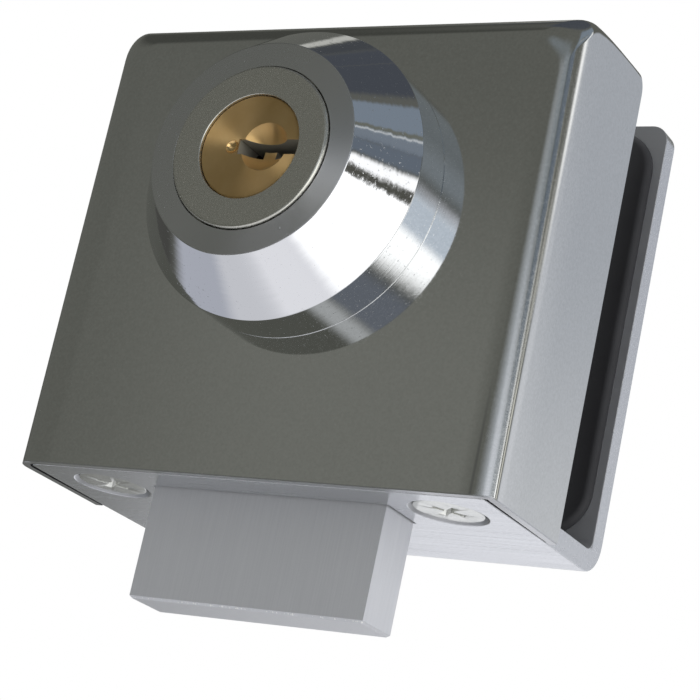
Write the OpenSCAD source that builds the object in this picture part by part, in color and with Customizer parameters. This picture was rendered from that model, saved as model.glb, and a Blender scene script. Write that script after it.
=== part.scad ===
// Clamp-on lock for the lower edge of a glass cabinet door.
// A cast case under a pressed cover stands in front of the glass. An L-shaped bracket runs under the
// case and up behind the glass. A pin tumbler cylinder in a conical rosette turns a pinion, and the
// pinion drives a flat bolt out of the underside. The bolt is drawn thrown, with the key taken out.
// X runs to the right, Y from the front to the back, Z up. The origin is the middle of the slot's
// floor, where the edge of the glass rests.

/* [Cover] */
// Width across the front
cover_w = 65; // [62:0.5:80]
// Height from the lower rim to the top
cover_h = 59.5; // [58.8:0.1:72]
// Depth from the front face to the rear rim
cover_d = 18.6; // [18:0.1:24]
// Sheet thickness
cover_t = 1; // [0.8:0.1:1.4]
// Outer radius of the bends beside the front face
bend_r = 2.5; // [2:0.1:3.5]
// Outer radius of the bend above the front face
top_bend_r = 4.5; // [3:0.1:6]
// Radius of the two edges between the top and the sides
edge_r = 0.9; // [0.5:0.1:2]
// Radius of the two upper corners at the front face
corner_r = 8; // [6:0.5:10]
// Depth over which these corners sharpen into the edges
corner_d = 5.5; // [4:0.5:9]
// Radius of the sides' upper rear corners
rim_r = 2.5; // [1:0.1:4]

/* [Bracket] */
// Plate thickness
plate_t = 2.8; // [2.6:0.1:4]
// Width of the slot between the lock body and the rear leg
slot_w = 12.4; // [10:0.1:18]
// Inside radius of the bend
bracket_bend_r = 1.5; // [0.5:0.1:3]
// Distance of the rear leg's top below the cover's
leg_drop = 0.8; // [0:0.1:3]
// Radius of the rear leg's upper corners
leg_corner_r = 2.25; // [1:0.25:8]
// Gap between the bracket's lower leg and the cover
leg_gap = 0.25; // [0.1:0.05:0.6]
// Distance of each bracket screw from the middle
screw_x = 23.25; // [22:0.25:26]
// Distance of the bracket screws behind the front face
screw_y = 8.4; // [7:0.1:12]
// Thread diameter of the bracket screws
screw_d = 5; // [4:0.5:6]
// Head diameter of the bracket screws
screw_head_d = 8.9; // [8:0.1:9.2]
// Diameter of the countersinks in the lower leg
sink_d = 9.6; // [9.4:0.1:10.4]
// Length of the bracket screws
screw_len = 12; // [8:1:16]

/* [Pads] */
// Thickness of the two rubber pads
pad_t = 1.2; // [0.5:0.1:2.5]
// Metal left bare round the pads
pad_margin = 1.1; // [0.5:0.1:4]
// Corner radius of the pads
pad_corner_r = 5.5; // [1:0.5:10]

/* [Case] */
// Gap between the case and the cover
case_gap = 0.1; // [0.05:0.05:0.4]
// Thickness of the case's front wall
case_front_t = 2.5; // [2:0.1:3]
// Thickness of the case's sides and top
case_wall = 2.5; // [1.5:0.1:3.5]
// Height of the solid foot that holds the bracket screws and guides the bolt
case_foot_h = 17; // [16:0.5:20]
// Thickness of the back plate
lid_t = 2.8; // [2.4:0.1:3.2]
// Thread diameter of the back plate's screws
lid_screw_d = 3; // [2.5:0.1:3.5]
// Length of the back plate's screws
lid_screw_len = 8; // [6:0.5:9]
// Distance of those screws from the case's sides and top
lid_screw_inset = 4.6; // [4:0.1:5.5]
// Width of the ribs that guide the bolt's faces
rib_w = 6; // [5:0.5:7]

/* [Bolt] */
// Width of the bolt
bolt_w = 32; // [31:0.5:34]
// Thickness of the bolt
bolt_t = 7; // [5:0.5:8]
// Distance of the bolt's front face behind the cover's front face
bolt_set = 7; // [6.8:0.1:8]
// Gap round the bolt in the bracket
bolt_gap = 0.25; // [0.15:0.05:0.5]
// Sliding clearance between the bolt and its guides
bolt_play = 0.08; // [0.05:0.01:0.2]
// Bevel round the bolt's end
bolt_bevel = 0.3; // [0.1:0.1:1]
// Diameter of the guide pins
guide_pin_d = 4; // [3:0.5:5]
// Distance of each guide pin from the middle
guide_pin_x = 11; // [10.5:0.1:12]
// Distance of the guide pins below the cylinder's axis
guide_pin_drop = 9; // [8.5:0.5:10]

/* [Drive] */
// Gear module of pinion and rack
tooth_m = 0.8; // [0.7:0.05:0.85]
// Number of pinion teeth
pinion_teeth = 11; // [10:1:12]
// Outward shift of the pinion's tooth profile, in modules
tooth_shift = 0.35; // [0.3:0.05:0.45]
// Pressure angle in degrees
pressure_angle = 20; // [18:1:24]
// Backlash between pinion and rack
backlash = 0.1; // [0.05:0.01:0.2]
// Turn of the key from thrown to drawn, in degrees
key_turn = 180; // [90:5:180]
// How far the drawn bolt still stands out of the bracket
bolt_flush = 0.05; // [0:0.05:0.5]
// Diameter of the pinion's rear journal
journal_d = 6; // [5.5:0.1:6.5]
// Diameter of the plug's driving tail
tail_d = 4; // [3.6:0.1:4.6]
// Width across the tail's two flats
tail_flat = 3; // [2.6:0.1:3.4]
// Thread diameter of the screw that holds the pinion
drive_screw_d = 2; // [1.6:0.1:2.2]

/* [Rosette] */
// Height of the cylinder's axis above the underside
axis_h = 35.7; // [35:0.1:37]
// Diameter of the collar
rosette_d = 37; // [36:0.5:42]
// Diameter of the flat front ring
rosette_front_d = 26.7; // [25.5:0.1:28]
// Height of the straight collar
collar_h = 5.65; // [5:0.05:7]
// Height of the whole rosette
rosette_h = 13.1; // [12.5:0.1:16]
// Thickness of the lip that traps the cylinder
lip_t = 2.2; // [1.5:0.1:2.6]
// Gap between the lip and the cylinder's face
ring_gap = 0.2; // [0.1:0.05:0.4]
// Thread diameter of the two rosette screws
rosette_screw_d = 3; // [2.5:0.1:3.5]
// Depth of the rosette screws in the collar
rosette_screw_in = 4; // [3:0.5:5]

/* [Cylinder] */
// Diameter of the cylinder's face
cyl_d = 20.4; // [19:0.1:21]
// How far that face stands out of the rosette
cyl_proud = 0.45; // [0:0.05:1]
// Diameter of the body behind the lip
cyl_body_d = 24; // [23.5:0.1:24.5]
// Diameter of the spigot in the case's front wall
spigot_d = 18; // [16.5:0.1:19]
// Reach of the spigot behind the cover's front face
spigot_in = 5; // [4.6:0.1:5.2]
// Diameter of the plug's face
plug_d = 13; // [12.8:0.1:14]
// Diameter of the plug behind its face
plug_body_d = 12.4; // [11.6:0.1:12.6]
// Depth of the plug's collar
plug_collar_t = 1.6; // [1:0.1:2.4]
// How far the plug's face lies behind the cylinder's face
plug_recess = 0.28; // [0:0.02:0.6]
// Height of the keyway
keyway_h = 1.9; // [1.6:0.1:2.1]
// Distance of the keyway's closed end from the axis
keyway_end = 1.6; // [1.2:0.1:2]
// Distance of the keyway's ward from the axis
ward_x = 1.2; // [0.8:0.1:1.6]
// Width of the ward
ward_w = 1.6; // [0.8:0.1:2]
// Diameter of the dished key guide
dish_d = 6; // [5:0.1:6.4]
// Depth of the key guide
dish_depth = 0.9; // [0.5:0.05:1.2]
// Distance of the key guide from the axis
dish_x = 2; // [1.5:0.1:2.2]
// Diameter of the pit at the keyway's closed end
pit_d = 1.7; // [1.2:0.1:2]

/* [Pins] */
// Number of pin stacks
pin_count = 5; // [4:1:5]
// Spacing of the pin stacks
pin_pitch = 2.7; // [2.5:0.1:2.8]
// Diameter of the pins
pin_d = 2.2; // [1.8:0.1:2.3]
// Distance of the first stack ahead of the cover's front face
first_pin = 8; // [7.6:0.1:8.4]
// Length of the driver pins
driver_len = 3; // [2.4:0.1:3.4]
// Reach of the pin chambers from the axis
chamber_reach = 14.4; // [14:0.1:14.6]
// Width of the rib that holds the pin chambers
chamber_w = 6.4; // [5:0.2:7]
// Thickness of the strip that closes the chambers
strip_t = 0.8; // [0.6:0.1:1]
// Wire diameter of the driver springs
spring_wire = 0.28; // [0.2:0.02:0.32]
// Turns of each driver spring
spring_turns = 5; // [4:1:6]

/* [Fits] */
// Running clearance of shafts and pins in their bores, on the radius
run_gap = 0.05; // [0.02:0.01:0.08]
// Clearance of fixed pieces in their seats
seat_gap = 0.02; // [0.01:0.01:0.05]
// Clearance of screws in through holes, on the radius
hole_gap = 0.2; // [0.1:0.05:0.25]
// Clearance round pieces that only pass an opening
free_gap = 0.15; // [0.1:0.05:0.25]
// Room past the end of a pin, tail or journal in its blind bore
end_gap = 0.1; // [0.05:0.05:0.2]
// Room past the end of a screw in its blind hole
thread_gap = 0.5; // [0.2:0.1:0.8]
// Bevel of the turned edges
edge_cut = 0.15; // [0.05:0.05:0.2]

/* [Hidden] */
$fn = 96;

// Small amount by which a cutter runs past the face that it cuts
eps = 0.5;

// Main planes
y_rear = -slot_w / 2;
y_front = y_rear - cover_d;
y_leg = slot_w / 2;
z_bot = -plate_t;
z_top = z_bot + cover_h;
leg_top = z_top - leg_drop;
axis_z = z_bot + axis_h;

// Growth of the front corners' radius with depth
corner_slope = (sqrt(2) - 1) * corner_r / corner_d;

// Case
case_inset = cover_t + case_gap;
case_hw = cover_w / 2 - case_inset;
case_top = z_top - case_inset;
y_case = y_front + case_inset;
y_hollow = y_case + case_front_t;
y_lid = y_rear - lid_t;
lid_screw_x = case_hw - lid_screw_inset;
lid_screw_drop = 3.6;
lid_screw_z = [case_foot_h - lid_screw_drop, case_top - lid_screw_inset];
boss_wall = 1.5;
lid_boss = lid_screw_inset + lid_screw_d / 2 + boss_wall;
head_seat = 1.7;
head_sunk = 0.25;
rosette_head_r = 0.9 * rosette_screw_d;
rosette_head_h = 0.65 * rosette_screw_d;

// Bracket
bracket_hw = cover_w / 2 - cover_t - leg_gap;
bracket_front = y_front + cover_t + leg_gap;
bend_out = bracket_bend_r + plate_t;
screw_sunk = (sink_d - screw_head_d) / 2;

// Gearing: the pinion rolls on the rack at its pitch radius, and its roots are a dedendum deep, in modules
dedendum = 1.25;
pitch_r = tooth_m * pinion_teeth / 2;
base_r = pitch_r * cos(pressure_angle);
tip_r = pitch_r + tooth_m * (1 + tooth_shift);
root_r = pitch_r - tooth_m * (dedendum - tooth_shift);
tooth_pitch = PI * tooth_m;
datum_x = pitch_r + tooth_shift * tooth_m;
rack_root_x = datum_x + dedendum * tooth_m;
bolt_throw = pitch_r * key_turn * PI / 180;

// Bolt, thrown
bolt_y0 = y_front + bolt_set;
bolt_y1 = bolt_y0 + bolt_t;
bolt_end = z_bot - bolt_flush - bolt_throw;
rack_spare = 1;
rack_end = 0.7;
bolt_top = axis_z + (rack_spare + rack_end) * tooth_pitch;
window_gap = 0.4;
window_z = axis_z - bolt_throw - tip_r - window_gap;
guide_pin_z = axis_z - guide_pin_drop;
guide_pin_seat = 1.8;
guide_pin_in = 0.8;

// Cylinder
y_ring = y_front - rosette_h;
y_cyl = y_ring - cyl_proud;
y_plug = y_cyl + plug_recess;
y_shoulder = y_ring + lip_t;
y_spigot = y_front + spigot_in;
body_r = cyl_body_d / 2;
collar_r = plug_d / 2;
plug_r = plug_body_d / 2;
bore_r = plug_r + run_gap;
clip_t = 0.6;
clip_depth = 0.8;
clip_reach = 1.4;
clip_mouth = 3.2;
keyway_stop = 1.2;
keyway_y = y_spigot - keyway_stop;
pit_tip_r = 0.1;

// The plug's tail, the pinion on it and the slotted screw behind
pinion_lead = 0.3;
tail_short = 1.2;
journal_in = 1.5;
y_tail = bolt_y0 - pinion_lead;
y_tail_end = bolt_y1 - tail_short;
y_journal = y_lid + journal_in;
drive_head_r = 0.95 * drive_screw_d;
drive_head_h = 1.4;
drive_head_sunk = 0.2;
drive_slot = 0.5;
drive_screw_in = 2.7;
y_drive_head = y_journal - drive_head_sunk - drive_head_h;

// Pin stacks lie on the side of the plug that the keyway doesn't open to
pin_r = pin_d / 2;
chamber_r = pin_r + run_gap;
chamber_wall = 0.4;
pin_ys = [for (i = [0 : pin_count - 1]) y_front - first_pin + i * pin_pitch];
rib_y0 = pin_ys[0] - pin_r - chamber_wall;
rib_y1 = pin_ys[pin_count - 1] + pin_r + chamber_wall;
driver_in = bore_r + seat_gap;
driver_out = driver_in + driver_len;
spring_out = chamber_reach - strip_t - seat_gap;
key_pin_out = sqrt(pow(plug_r, 2) - pow(pin_r, 2)) - seat_gap;
key_pin_tips = [3.5, 2.8, 3.9, 3.1, 2.5];
key_tip_h = 0.6;
key_tip_r = 0.4;
strip_lap = 0.6;
coil_r = pin_r - spring_wire / 2 - run_gap;
coil_rings = 10;
coil_sides = 6;

// Helpers
// Round bar along Y at x, z
module rod_y(r, y0, y1, x = 0, z = 0) {
  translate([x, y0, z]) rotate([-90, 0, 0]) cylinder(r = r, h = y1 - y0);
}

// Truncated cone along Y at x, z
module cone_y(ra, rb, y0, y1, x = 0, z = 0) {
  translate([x, y0, z]) rotate([-90, 0, 0]) cylinder(r1 = ra, r2 = rb, h = y1 - y0);
}

// Round bar along X, from x0 to x1
module rod_x(r, x0, x1, y, z) {
  translate([x0, y, z]) rotate([0, 90, 0]) cylinder(r = r, h = x1 - x0);
}

// Block between two corners
module block(a, b) {
  translate(a) cube(b - a);
}

// Flat outline in X and Z, made a plate from y0 to y1
module plate_xz(y0, y1) {
  translate([0, y1, 0]) rotate([90, 0, 0]) linear_extrude(y1 - y0) children();
}

// Outline in Y and Z, drawn out across X by half a width each way
module bar_yz(hw) {
  translate([-hw, 0, 0]) rotate([90, 0, 90]) linear_extrude(2 * hw) children();
}

// Turned piece on the cylinder's axis, from an outline in radius and Y
module turned() {
  translate([0, 0, axis_z]) rotate([-90, 0, 0]) rotate_extrude() children();
}

// Rectangle from a to b whose upper corners, and lower ones too if asked, are round
module round_rect(a, b, r, lower = true) {
  low = lower ? r : 0;
  difference() {
    translate(a) square(b - a);
    for (s = [0, 1]) {
      x = s == 0 ? a[0] : b[0];
      d = s == 0 ? 1 : -1;
      if (r > 0) corner_cut([x, b[1]], [d, -1], r);
      if (low > 0) corner_cut([x, a[1]], [d, 1], low);
    }
  }
}

// What rounding a corner takes away: p is the corner and d points into the plate
module corner_cut(p, d, r) {
  difference() {
    translate(p + [d[0] > 0 ? -eps : -r, d[1] > 0 ? -eps : -r]) square(r + eps);
    translate(p + r * d) circle(r);
  }
}

// The cover's outline from the front, inset evenly on the sides and top, from z_low up
module front_outline(inset, z_low) {
  hw = cover_w / 2 - inset;
  round_rect([-hw, z_low], [hw, z_top - inset], max(edge_r - inset, 0), false);
}

// The cover's outer form, inset evenly on the front, sides and top, from z_low up and back to y_back
module shell_form(inset, z_low, y_back) {
  hw = cover_w / 2 - inset;
  top = z_top - inset;
  front = y_front + inset;
  difference() {
    plate_xz(front, y_back) front_outline(inset, z_low);
    translate([0, 0, z_low - eps]) linear_extrude(top - z_low + 2 * eps)
      for (s = [-1, 1]) corner_cut([s * hw, front], [-s, 1], bend_r - inset);
    bar_yz(hw + eps) corner_cut([front, top], [1, -1], top_bend_r - inset);
    for (s = [-1, 1]) translate([s * hw, front, top]) front_corner(s, corner_r - inset);
  }
}

// What rounds an upper corner in front: s is its side and r its radius at the front face
module front_corner(s, r) {
  depth = (sqrt(2) - 1) * r / corner_slope + eps;
  difference() {
    block([s < 0 ? -eps : -r, -eps, -r], [s < 0 ? r : eps, depth, eps]);
    cone_y(r - corner_slope * eps, r + corner_slope * depth, -eps, depth, -s * r, -r);
  }
}

// Opening for the cylinder's round body and the rib that holds its pins
module cylinder_opening(r, y0, y1, gap) {
  rod_y(r + gap, y0, y1, 0, axis_z);
  hw = chamber_w / 2 + gap;
  block([-chamber_reach - gap, y0, axis_z - hw], [0, y1, axis_z + hw]);
}

// The two places above and below the axis where screws pass into the rosette
module at_rosette_screws() {
  for (s = [-1, 1]) translate([0, 0, axis_z + s * (body_r + rosette_d / 2) / 2]) children();
}

// The four corners where screws hold the back plate
module at_lid_screws() {
  for (s = [-1, 1], z = lid_screw_z) translate([s * lid_screw_x, 0, z]) children();
}

// Cross recess in the face of a screw head, pointing down Z and tapering with depth
module cross_recess(head_d) {
  w = 0.56 * head_d;
  blade = 0.26 * w;
  depth = 0.38 * w;
  intersection() {
    for (a = [0, 90]) rotate(a) translate([-w / 2, -blade / 2, -depth]) cube([w, blade, depth + eps]);
    translate([0, 0, -depth]) cylinder(r1 = 0.2 * w, r2 = 0.2 * w + depth + eps, h = depth + eps);
  }
}

// Pressed cover: five walls of one sheet, open below and behind, with the cylinder's hole in front
module cover() {
  color("silver") difference() {
    shell_form(0, z_bot, y_rear);
    shell_form(cover_t, z_bot - eps, y_rear + eps);
    for (s = [-1, 1]) translate([s * (cover_w - cover_t) / 2, 0, 0])
      bar_yz(cover_t / 2 + leg_gap) corner_cut([y_rear, z_top], [-1, -1], rim_r);
    cylinder_opening(body_r, y_front - eps, y_front + cover_t + eps, free_gap);
    at_rosette_screws() rod_y(rosette_screw_d / 2 + hole_gap, y_front - eps, y_front + cover_t + eps);
  }
}

// Bent bracket: lower leg under the case, rear leg behind the glass
module bracket() {
  color("gainsboro") difference() {
    bar_yz(bracket_hw) {
      translate([bracket_front, z_bot]) square([y_leg - bracket_bend_r - bracket_front, plate_t]);
      translate([y_leg, bracket_bend_r]) square([plate_t, leg_top - bracket_bend_r]);
      translate([y_leg - bracket_bend_r, bracket_bend_r]) intersection() {
        difference() {
          circle(bend_out);
          circle(bracket_bend_r);
        }
        translate([0, -bend_out]) square(bend_out);
      }
    }
    leg_corners();
    front_corners();
    bolt_passage(bolt_gap, z_bot - eps, eps);
    for (s = [-1, 1]) translate([s * screw_x, y_front + screw_y, z_bot]) {
      translate([0, 0, -eps]) cylinder(d = screw_d + 2 * hole_gap, h = plate_t + 2 * eps);
      cylinder(d1 = sink_d, d2 = screw_d, h = (sink_d - screw_d) / 2);
      translate([0, 0, -eps]) cylinder(d = sink_d, h = eps);
    }
  }
}

// Rounding of the rear leg's upper corners
module leg_corners() {
  plate_xz(y_leg - eps, y_leg + plate_t + eps)
    for (s = [-1, 1]) corner_cut([s * bracket_hw, leg_top], [-s, -1], leg_corner_r);
}

// Rounding of the lower leg's front corners, which follow the cover's bends
module front_corners() {
  translate([0, 0, z_bot - eps]) linear_extrude(plate_t + 2 * eps)
    for (s = [-1, 1]) corner_cut([s * bracket_hw, bracket_front], [-s, 1], bend_r - cover_t);
}

// Space that the bolt slides in, wider than the bolt by a gap on each side
module bolt_passage(gap, z0, z1) {
  hw = bolt_w / 2 + gap;
  block([-hw, bolt_y0 - gap, z0], [hw, bolt_y1 + gap, z1]);
}

// Cast case: hollow behind, with a solid foot that guides the bolt and takes the bracket's screws
module lock_case() {
  lid_bore = lid_screw_d / 2 + seat_gap;
  color("darkgray") difference() {
    union() {
      difference() {
        shell_form(case_inset, 0, y_lid);
        case_hollow();
      }
      case_ribs(y_case + case_front_t / 2, bolt_y0 - bolt_play);
    }
    cylinder_opening(spigot_d / 2, y_case - eps, y_hollow + eps, run_gap);
    at_rosette_screws() {
      rod_y(rosette_screw_d / 2 + hole_gap, y_case - eps, y_hollow + eps);
      rod_y(rosette_head_r + free_gap, y_hollow, bolt_y0);
    }
    at_lid_screws() rod_y(lid_bore, y_rear - lid_screw_len - thread_gap, y_lid + eps);
    at_guide_pins() rod_y(guide_pin_d / 2 + seat_gap, y_case + guide_pin_in - end_gap, y_lid);
    for (s = [-1, 1]) translate([s * screw_x, y_front + screw_y, -eps])
      cylinder(d = screw_d + 2 * seat_gap, h = screw_sunk + screw_len - plate_t + thread_gap + eps);
  }
}

// Hollow of the case: the bolt's channel through the foot, then the full width above it
module case_hollow() {
  hw = case_hw - case_wall;
  top = case_top - case_wall;
  bolt_passage(bolt_play, -eps, case_foot_h + eps);
  block([-hw, y_hollow, case_foot_h], [hw, y_lid + eps, case_top - lid_boss]);
  block([-case_hw + lid_boss, y_hollow, case_foot_h], [case_hw - lid_boss, y_lid + eps, top]);
}

// Ribs that guide a face of the bolt, below and above the cylinder
module case_ribs(y0, y1) {
  for (s = [-1, 1], span = [[case_foot_h - eps, axis_z - guide_pin_drop + rib_w / 2],
                            [axis_z + spigot_d / 2, case_top - case_wall + eps]])
    block([s * guide_pin_x - rib_w / 2, y0, span[0]], [s * guide_pin_x + rib_w / 2, y1, span[1]]);
}

// The two guide pins' places
module at_guide_pins() {
  for (s = [-1, 1]) translate([s * guide_pin_x, 0, guide_pin_z]) children();
}

// Back plate of the case, with ribs behind the bolt and a blind bearing for the pinion
module case_back_plate() {
  color("darkgray") difference() {
    union() {
      plate_xz(y_lid, y_rear) front_outline(case_inset, 0);
      case_ribs_rear();
    }
    rod_y(journal_d / 2 + run_gap, y_lid - eps, y_journal + end_gap, 0, axis_z);
    at_guide_pins() rod_y(guide_pin_d / 2 + seat_gap, bolt_y1, y_lid + guide_pin_seat);
    at_lid_screws() {
      rod_y(lid_screw_d / 2 + hole_gap, y_lid - eps, y_rear + eps);
      cone_y(lid_screw_d / 2, lid_screw_d / 2 + head_seat, y_rear - head_seat, y_rear);
    }
  }
}

// Ribs of the back plate, clear of the case's walls
module case_ribs_rear() {
  for (s = [-1, 1])
    block([s * guide_pin_x - rib_w / 2, bolt_y1 + bolt_play, case_foot_h + eps],
          [s * guide_pin_x + rib_w / 2, y_lid + eps, case_top - case_wall - eps]);
}

// Countersunk screws that hold the back plate
module case_screws() {
  thread_r = lid_screw_d / 2;
  head_r = thread_r + head_seat - head_sunk;
  y_head = y_rear - head_sunk;
  color("silver") at_lid_screws() difference() {
    union() {
      rod_y(thread_r, y_rear - lid_screw_len, y_rear - head_seat);
      cone_y(thread_r, head_r, y_rear - head_seat, y_head);
    }
    translate([0, y_head, 0]) rotate([-90, 0, 0]) cross_recess(2 * head_r);
  }
}

// Two countersunk cross-head screws that hold the bracket under the case
module bracket_screws() {
  head_d = screw_head_d - 2 * seat_gap;
  thread_d = screw_d - 2 * seat_gap;
  y = y_front + screw_y;
  color("silver") for (s = [-1, 1]) translate([s * screw_x, y, z_bot + screw_sunk]) difference() {
    union() {
      cylinder(d1 = head_d, d2 = thread_d, h = (head_d - thread_d) / 2);
      cylinder(d = thread_d, h = screw_len);
    }
    rotate([180, 0, 0]) cross_recess(head_d);
  }
}

// Rubber pad on the back of the case
module front_pad() {
  edge = case_hw - pad_margin;
  color("black") plate_xz(y_rear, y_rear + pad_t)
    round_rect([-edge, bracket_bend_r], [edge, case_top - pad_margin], pad_corner_r);
}

// Rubber pad on the bracket's rear leg
module rear_pad() {
  edge = bracket_hw - pad_margin;
  color("black") plate_xz(y_leg - pad_t, y_leg)
    round_rect([-edge, bracket_bend_r], [edge, leg_top - pad_margin], pad_corner_r);
}

// Turned rosette: straight collar, cone and flat front ring, hollow for the cylinder's body
module rosette() {
  edge = edge_cut;
  r0 = rosette_d / 2;
  r1 = rosette_front_d / 2;
  cav = body_r + free_gap;
  lip = cyl_d / 2 + ring_gap;
  color("silver") difference() {
    turned() polygon([[cav, y_front], [r0 - edge, y_front], [r0, y_front - edge], [r0, y_front - collar_h],
                      [r1 + edge, y_ring + edge], [r1 - edge, y_ring], [lip + edge, y_ring],
                      [lip, y_ring + edge], [lip, y_shoulder], [cav, y_shoulder]]);
    hw = chamber_w / 2 + free_gap;
    block([-chamber_reach - free_gap, rib_y0 - free_gap, axis_z - hw], [0, y_front + eps, axis_z + hw]);
    at_rosette_screws()
      rod_y(rosette_screw_d / 2 + seat_gap, y_front - rosette_screw_in - thread_gap, y_front + eps);
  }
}

// Pan-head screws from inside the case that draw the rosette onto the cover
module rosette_screws() {
  y_head = y_hollow + rosette_head_h;
  color("silver") at_rosette_screws() difference() {
    union() {
      rod_y(rosette_screw_d / 2, y_front - rosette_screw_in, y_hollow);
      rod_y(rosette_head_r, y_hollow, y_head);
    }
    translate([0, y_head, 0]) rotate([-90, 0, 0]) cross_recess(2 * rosette_head_r);
  }
}

// Cylinder: turned face and body, spigot into the case, and the rib that holds the pin chambers
module cylinder_housing() {
  hw = chamber_w / 2;
  edge = edge_cut;
  r0 = cyl_d / 2;
  color("lightgray") difference() {
    union() {
      turned() polygon([[bore_r, y_cyl], [r0 - edge, y_cyl], [r0, y_cyl + edge], [r0, y_shoulder + seat_gap],
                        [body_r, y_shoulder + seat_gap], [body_r, y_case], [spigot_d / 2, y_case],
                        [spigot_d / 2, y_spigot], [bore_r, y_spigot]]);
      block([-chamber_reach, rib_y0, axis_z - hw], [-(bore_r + spigot_d / 2) / 2, rib_y1, axis_z + hw]);
    }
    rod_y(collar_r + run_gap, y_cyl - eps, y_plug + plug_collar_t + run_gap, 0, axis_z);
    for (y = pin_ys) rod_x(chamber_r, -chamber_reach - eps, 0, y, axis_z);
    strip_bar(eps, 0);
  }
}

// Bar along the end of the rib: over is how far it runs past the rib, gap how much smaller it is inside
module strip_bar(over, gap) {
  hw = pin_r + strip_lap - gap;
  block([-chamber_reach - over, rib_y0 - over, axis_z - hw],
        [-chamber_reach + strip_t - gap, rib_y1 + over, axis_z + hw]);
}

// Strip that closes the pin chambers
module chamber_strip() {
  color("goldenrod") strip_bar(0, seat_gap);
}

// Driver pins, drawn at the shear line
module driver_pins() {
  color("gold") for (y = pin_ys) rod_x(pin_r, -driver_out, -driver_in, y, axis_z);
}

// Point at a turn of a driver spring, a helix about the pin stack's axis
function coil_point(y, turn, reach) = [-driver_out - seat_gap - reach, y + coil_r * cos(360 * turn),
                                       axis_z + coil_r * sin(360 * turn)];

// One driver spring: a round wire swept along its helix, with its ends on the pin and the strip
module driver_spring(y) {
  length = spring_out - driver_out - seat_gap - spring_wire;
  steps = coil_rings * spring_turns;
  points = [for (i = [0 : steps], k = [0 : coil_sides - 1])
    let (turn = i / coil_rings, a = 360 * turn, b = 360 * k / coil_sides, w = spring_wire / 2,
         centre = coil_point(y, turn, spring_wire / 2 + length * i / steps))
    centre + w * [sin(b), cos(b) * cos(a), cos(b) * sin(a)]];
  sides = [for (i = [0 : steps - 1], k = [0 : coil_sides - 1])
    let (n = (k + 1) % coil_sides, p = i * coil_sides, q = p + coil_sides)
    each [[p + k, p + n, q + n], [p + k, q + n, q + k]]];
  first = [for (k = [1 : coil_sides - 2]) [0, k + 1, k]];
  last = [for (k = [1 : coil_sides - 2]) let (p = steps * coil_sides) [p, p + k, p + k + 1]];
  polyhedron(points, concat(sides, first, last));
}

// Springs behind the driver pins
module driver_springs() {
  color("silver") for (y = pin_ys) driver_spring(y);
}

// Plug: turned brass core with keyway, dished key guide, pin holes, clip groove and driving tail
module plug() {
  sphere_r = (pow(dish_d / 2, 2) + pow(dish_depth, 2)) / (2 * dish_depth);
  groove_y0 = y_spigot + run_gap;
  groove_y1 = groove_y0 + clip_t + 2 * run_gap;
  groove_r = plug_r - clip_depth;
  y_collar = y_plug + plug_collar_t;
  edge = edge_cut;
  color("darkgoldenrod") {
    difference() {
      turned() polygon([[0, y_plug], [collar_r - edge, y_plug], [collar_r, y_plug + edge],
                        [collar_r, y_collar], [plug_r, y_collar], [plug_r, groove_y0], [groove_r, groove_y0],
                        [groove_r, groove_y1], [plug_r, groove_y1], [plug_r, y_tail], [0, y_tail]]);
      translate([dish_x, y_plug + dish_depth - sphere_r, axis_z]) sphere(sphere_r);
      cone_y(pit_d / 2, pit_tip_r, y_plug, y_plug + pit_d / 2, -keyway_end - pit_d / 2 + pit_tip_r, axis_z);
      keyway();
      for (y = pin_ys) rod_x(chamber_r, -plug_r - eps, -keyway_end + eps, y, axis_z);
    }
    difference() {
      intersection() {
        rod_y(tail_d / 2, y_tail, y_tail_end, 0, axis_z);
        block([-tail_flat / 2, y_tail, axis_z - tail_d], [tail_flat / 2, y_tail_end, axis_z + tail_d]);
      }
      rod_y(drive_screw_d / 2 + seat_gap, y_tail_end - drive_screw_in - end_gap, y_tail_end + eps, 0, axis_z);
    }
  }
}

// Keyway: a slot open to the right, with a ward along its lower wall
module keyway() {
  difference() {
    block([-keyway_end, y_plug - eps, axis_z - keyway_h / 2], [plug_d, keyway_y, axis_z + keyway_h / 2]);
    block([ward_x, y_plug + dish_depth, axis_z - keyway_h], [ward_x + ward_w, keyway_y + eps, axis_z]);
  }
}

// Key pins with pointed tips, lifted to the shear line as the right key lifts them
module key_pins() {
  color("gold") for (i = [0 : pin_count - 1]) {
    taper = -key_pin_tips[i] - key_tip_h;
    rod_x(pin_r, -key_pin_out, taper, pin_ys[i], axis_z);
    translate([taper, pin_ys[i], axis_z]) rotate([0, 90, 0])
      cylinder(r1 = pin_r, r2 = key_tip_r, h = key_tip_h);
  }
}

// Open spring ring in the plug's groove, which keeps the plug in the cylinder
module plug_clip() {
  r0 = plug_r - clip_depth + seat_gap;
  y0 = y_spigot + 2 * run_gap;
  color("dimgray") difference() {
    turned() translate([r0, y0]) square([clip_depth + clip_reach, clip_t]);
    block([-clip_mouth / 2, y0 - eps, axis_z], [clip_mouth / 2, y0 + clip_t + eps, axis_z + 2 * plug_r]);
  }
}

// Point of an involute at roll angle t, in polar form: radius and angle
function involute(t) = [base_r * sqrt(1 + pow(t * PI / 180, 2)), t - atan(t * PI / 180)];
function polar(r, a) = r * [cos(a), sin(a)];

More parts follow.
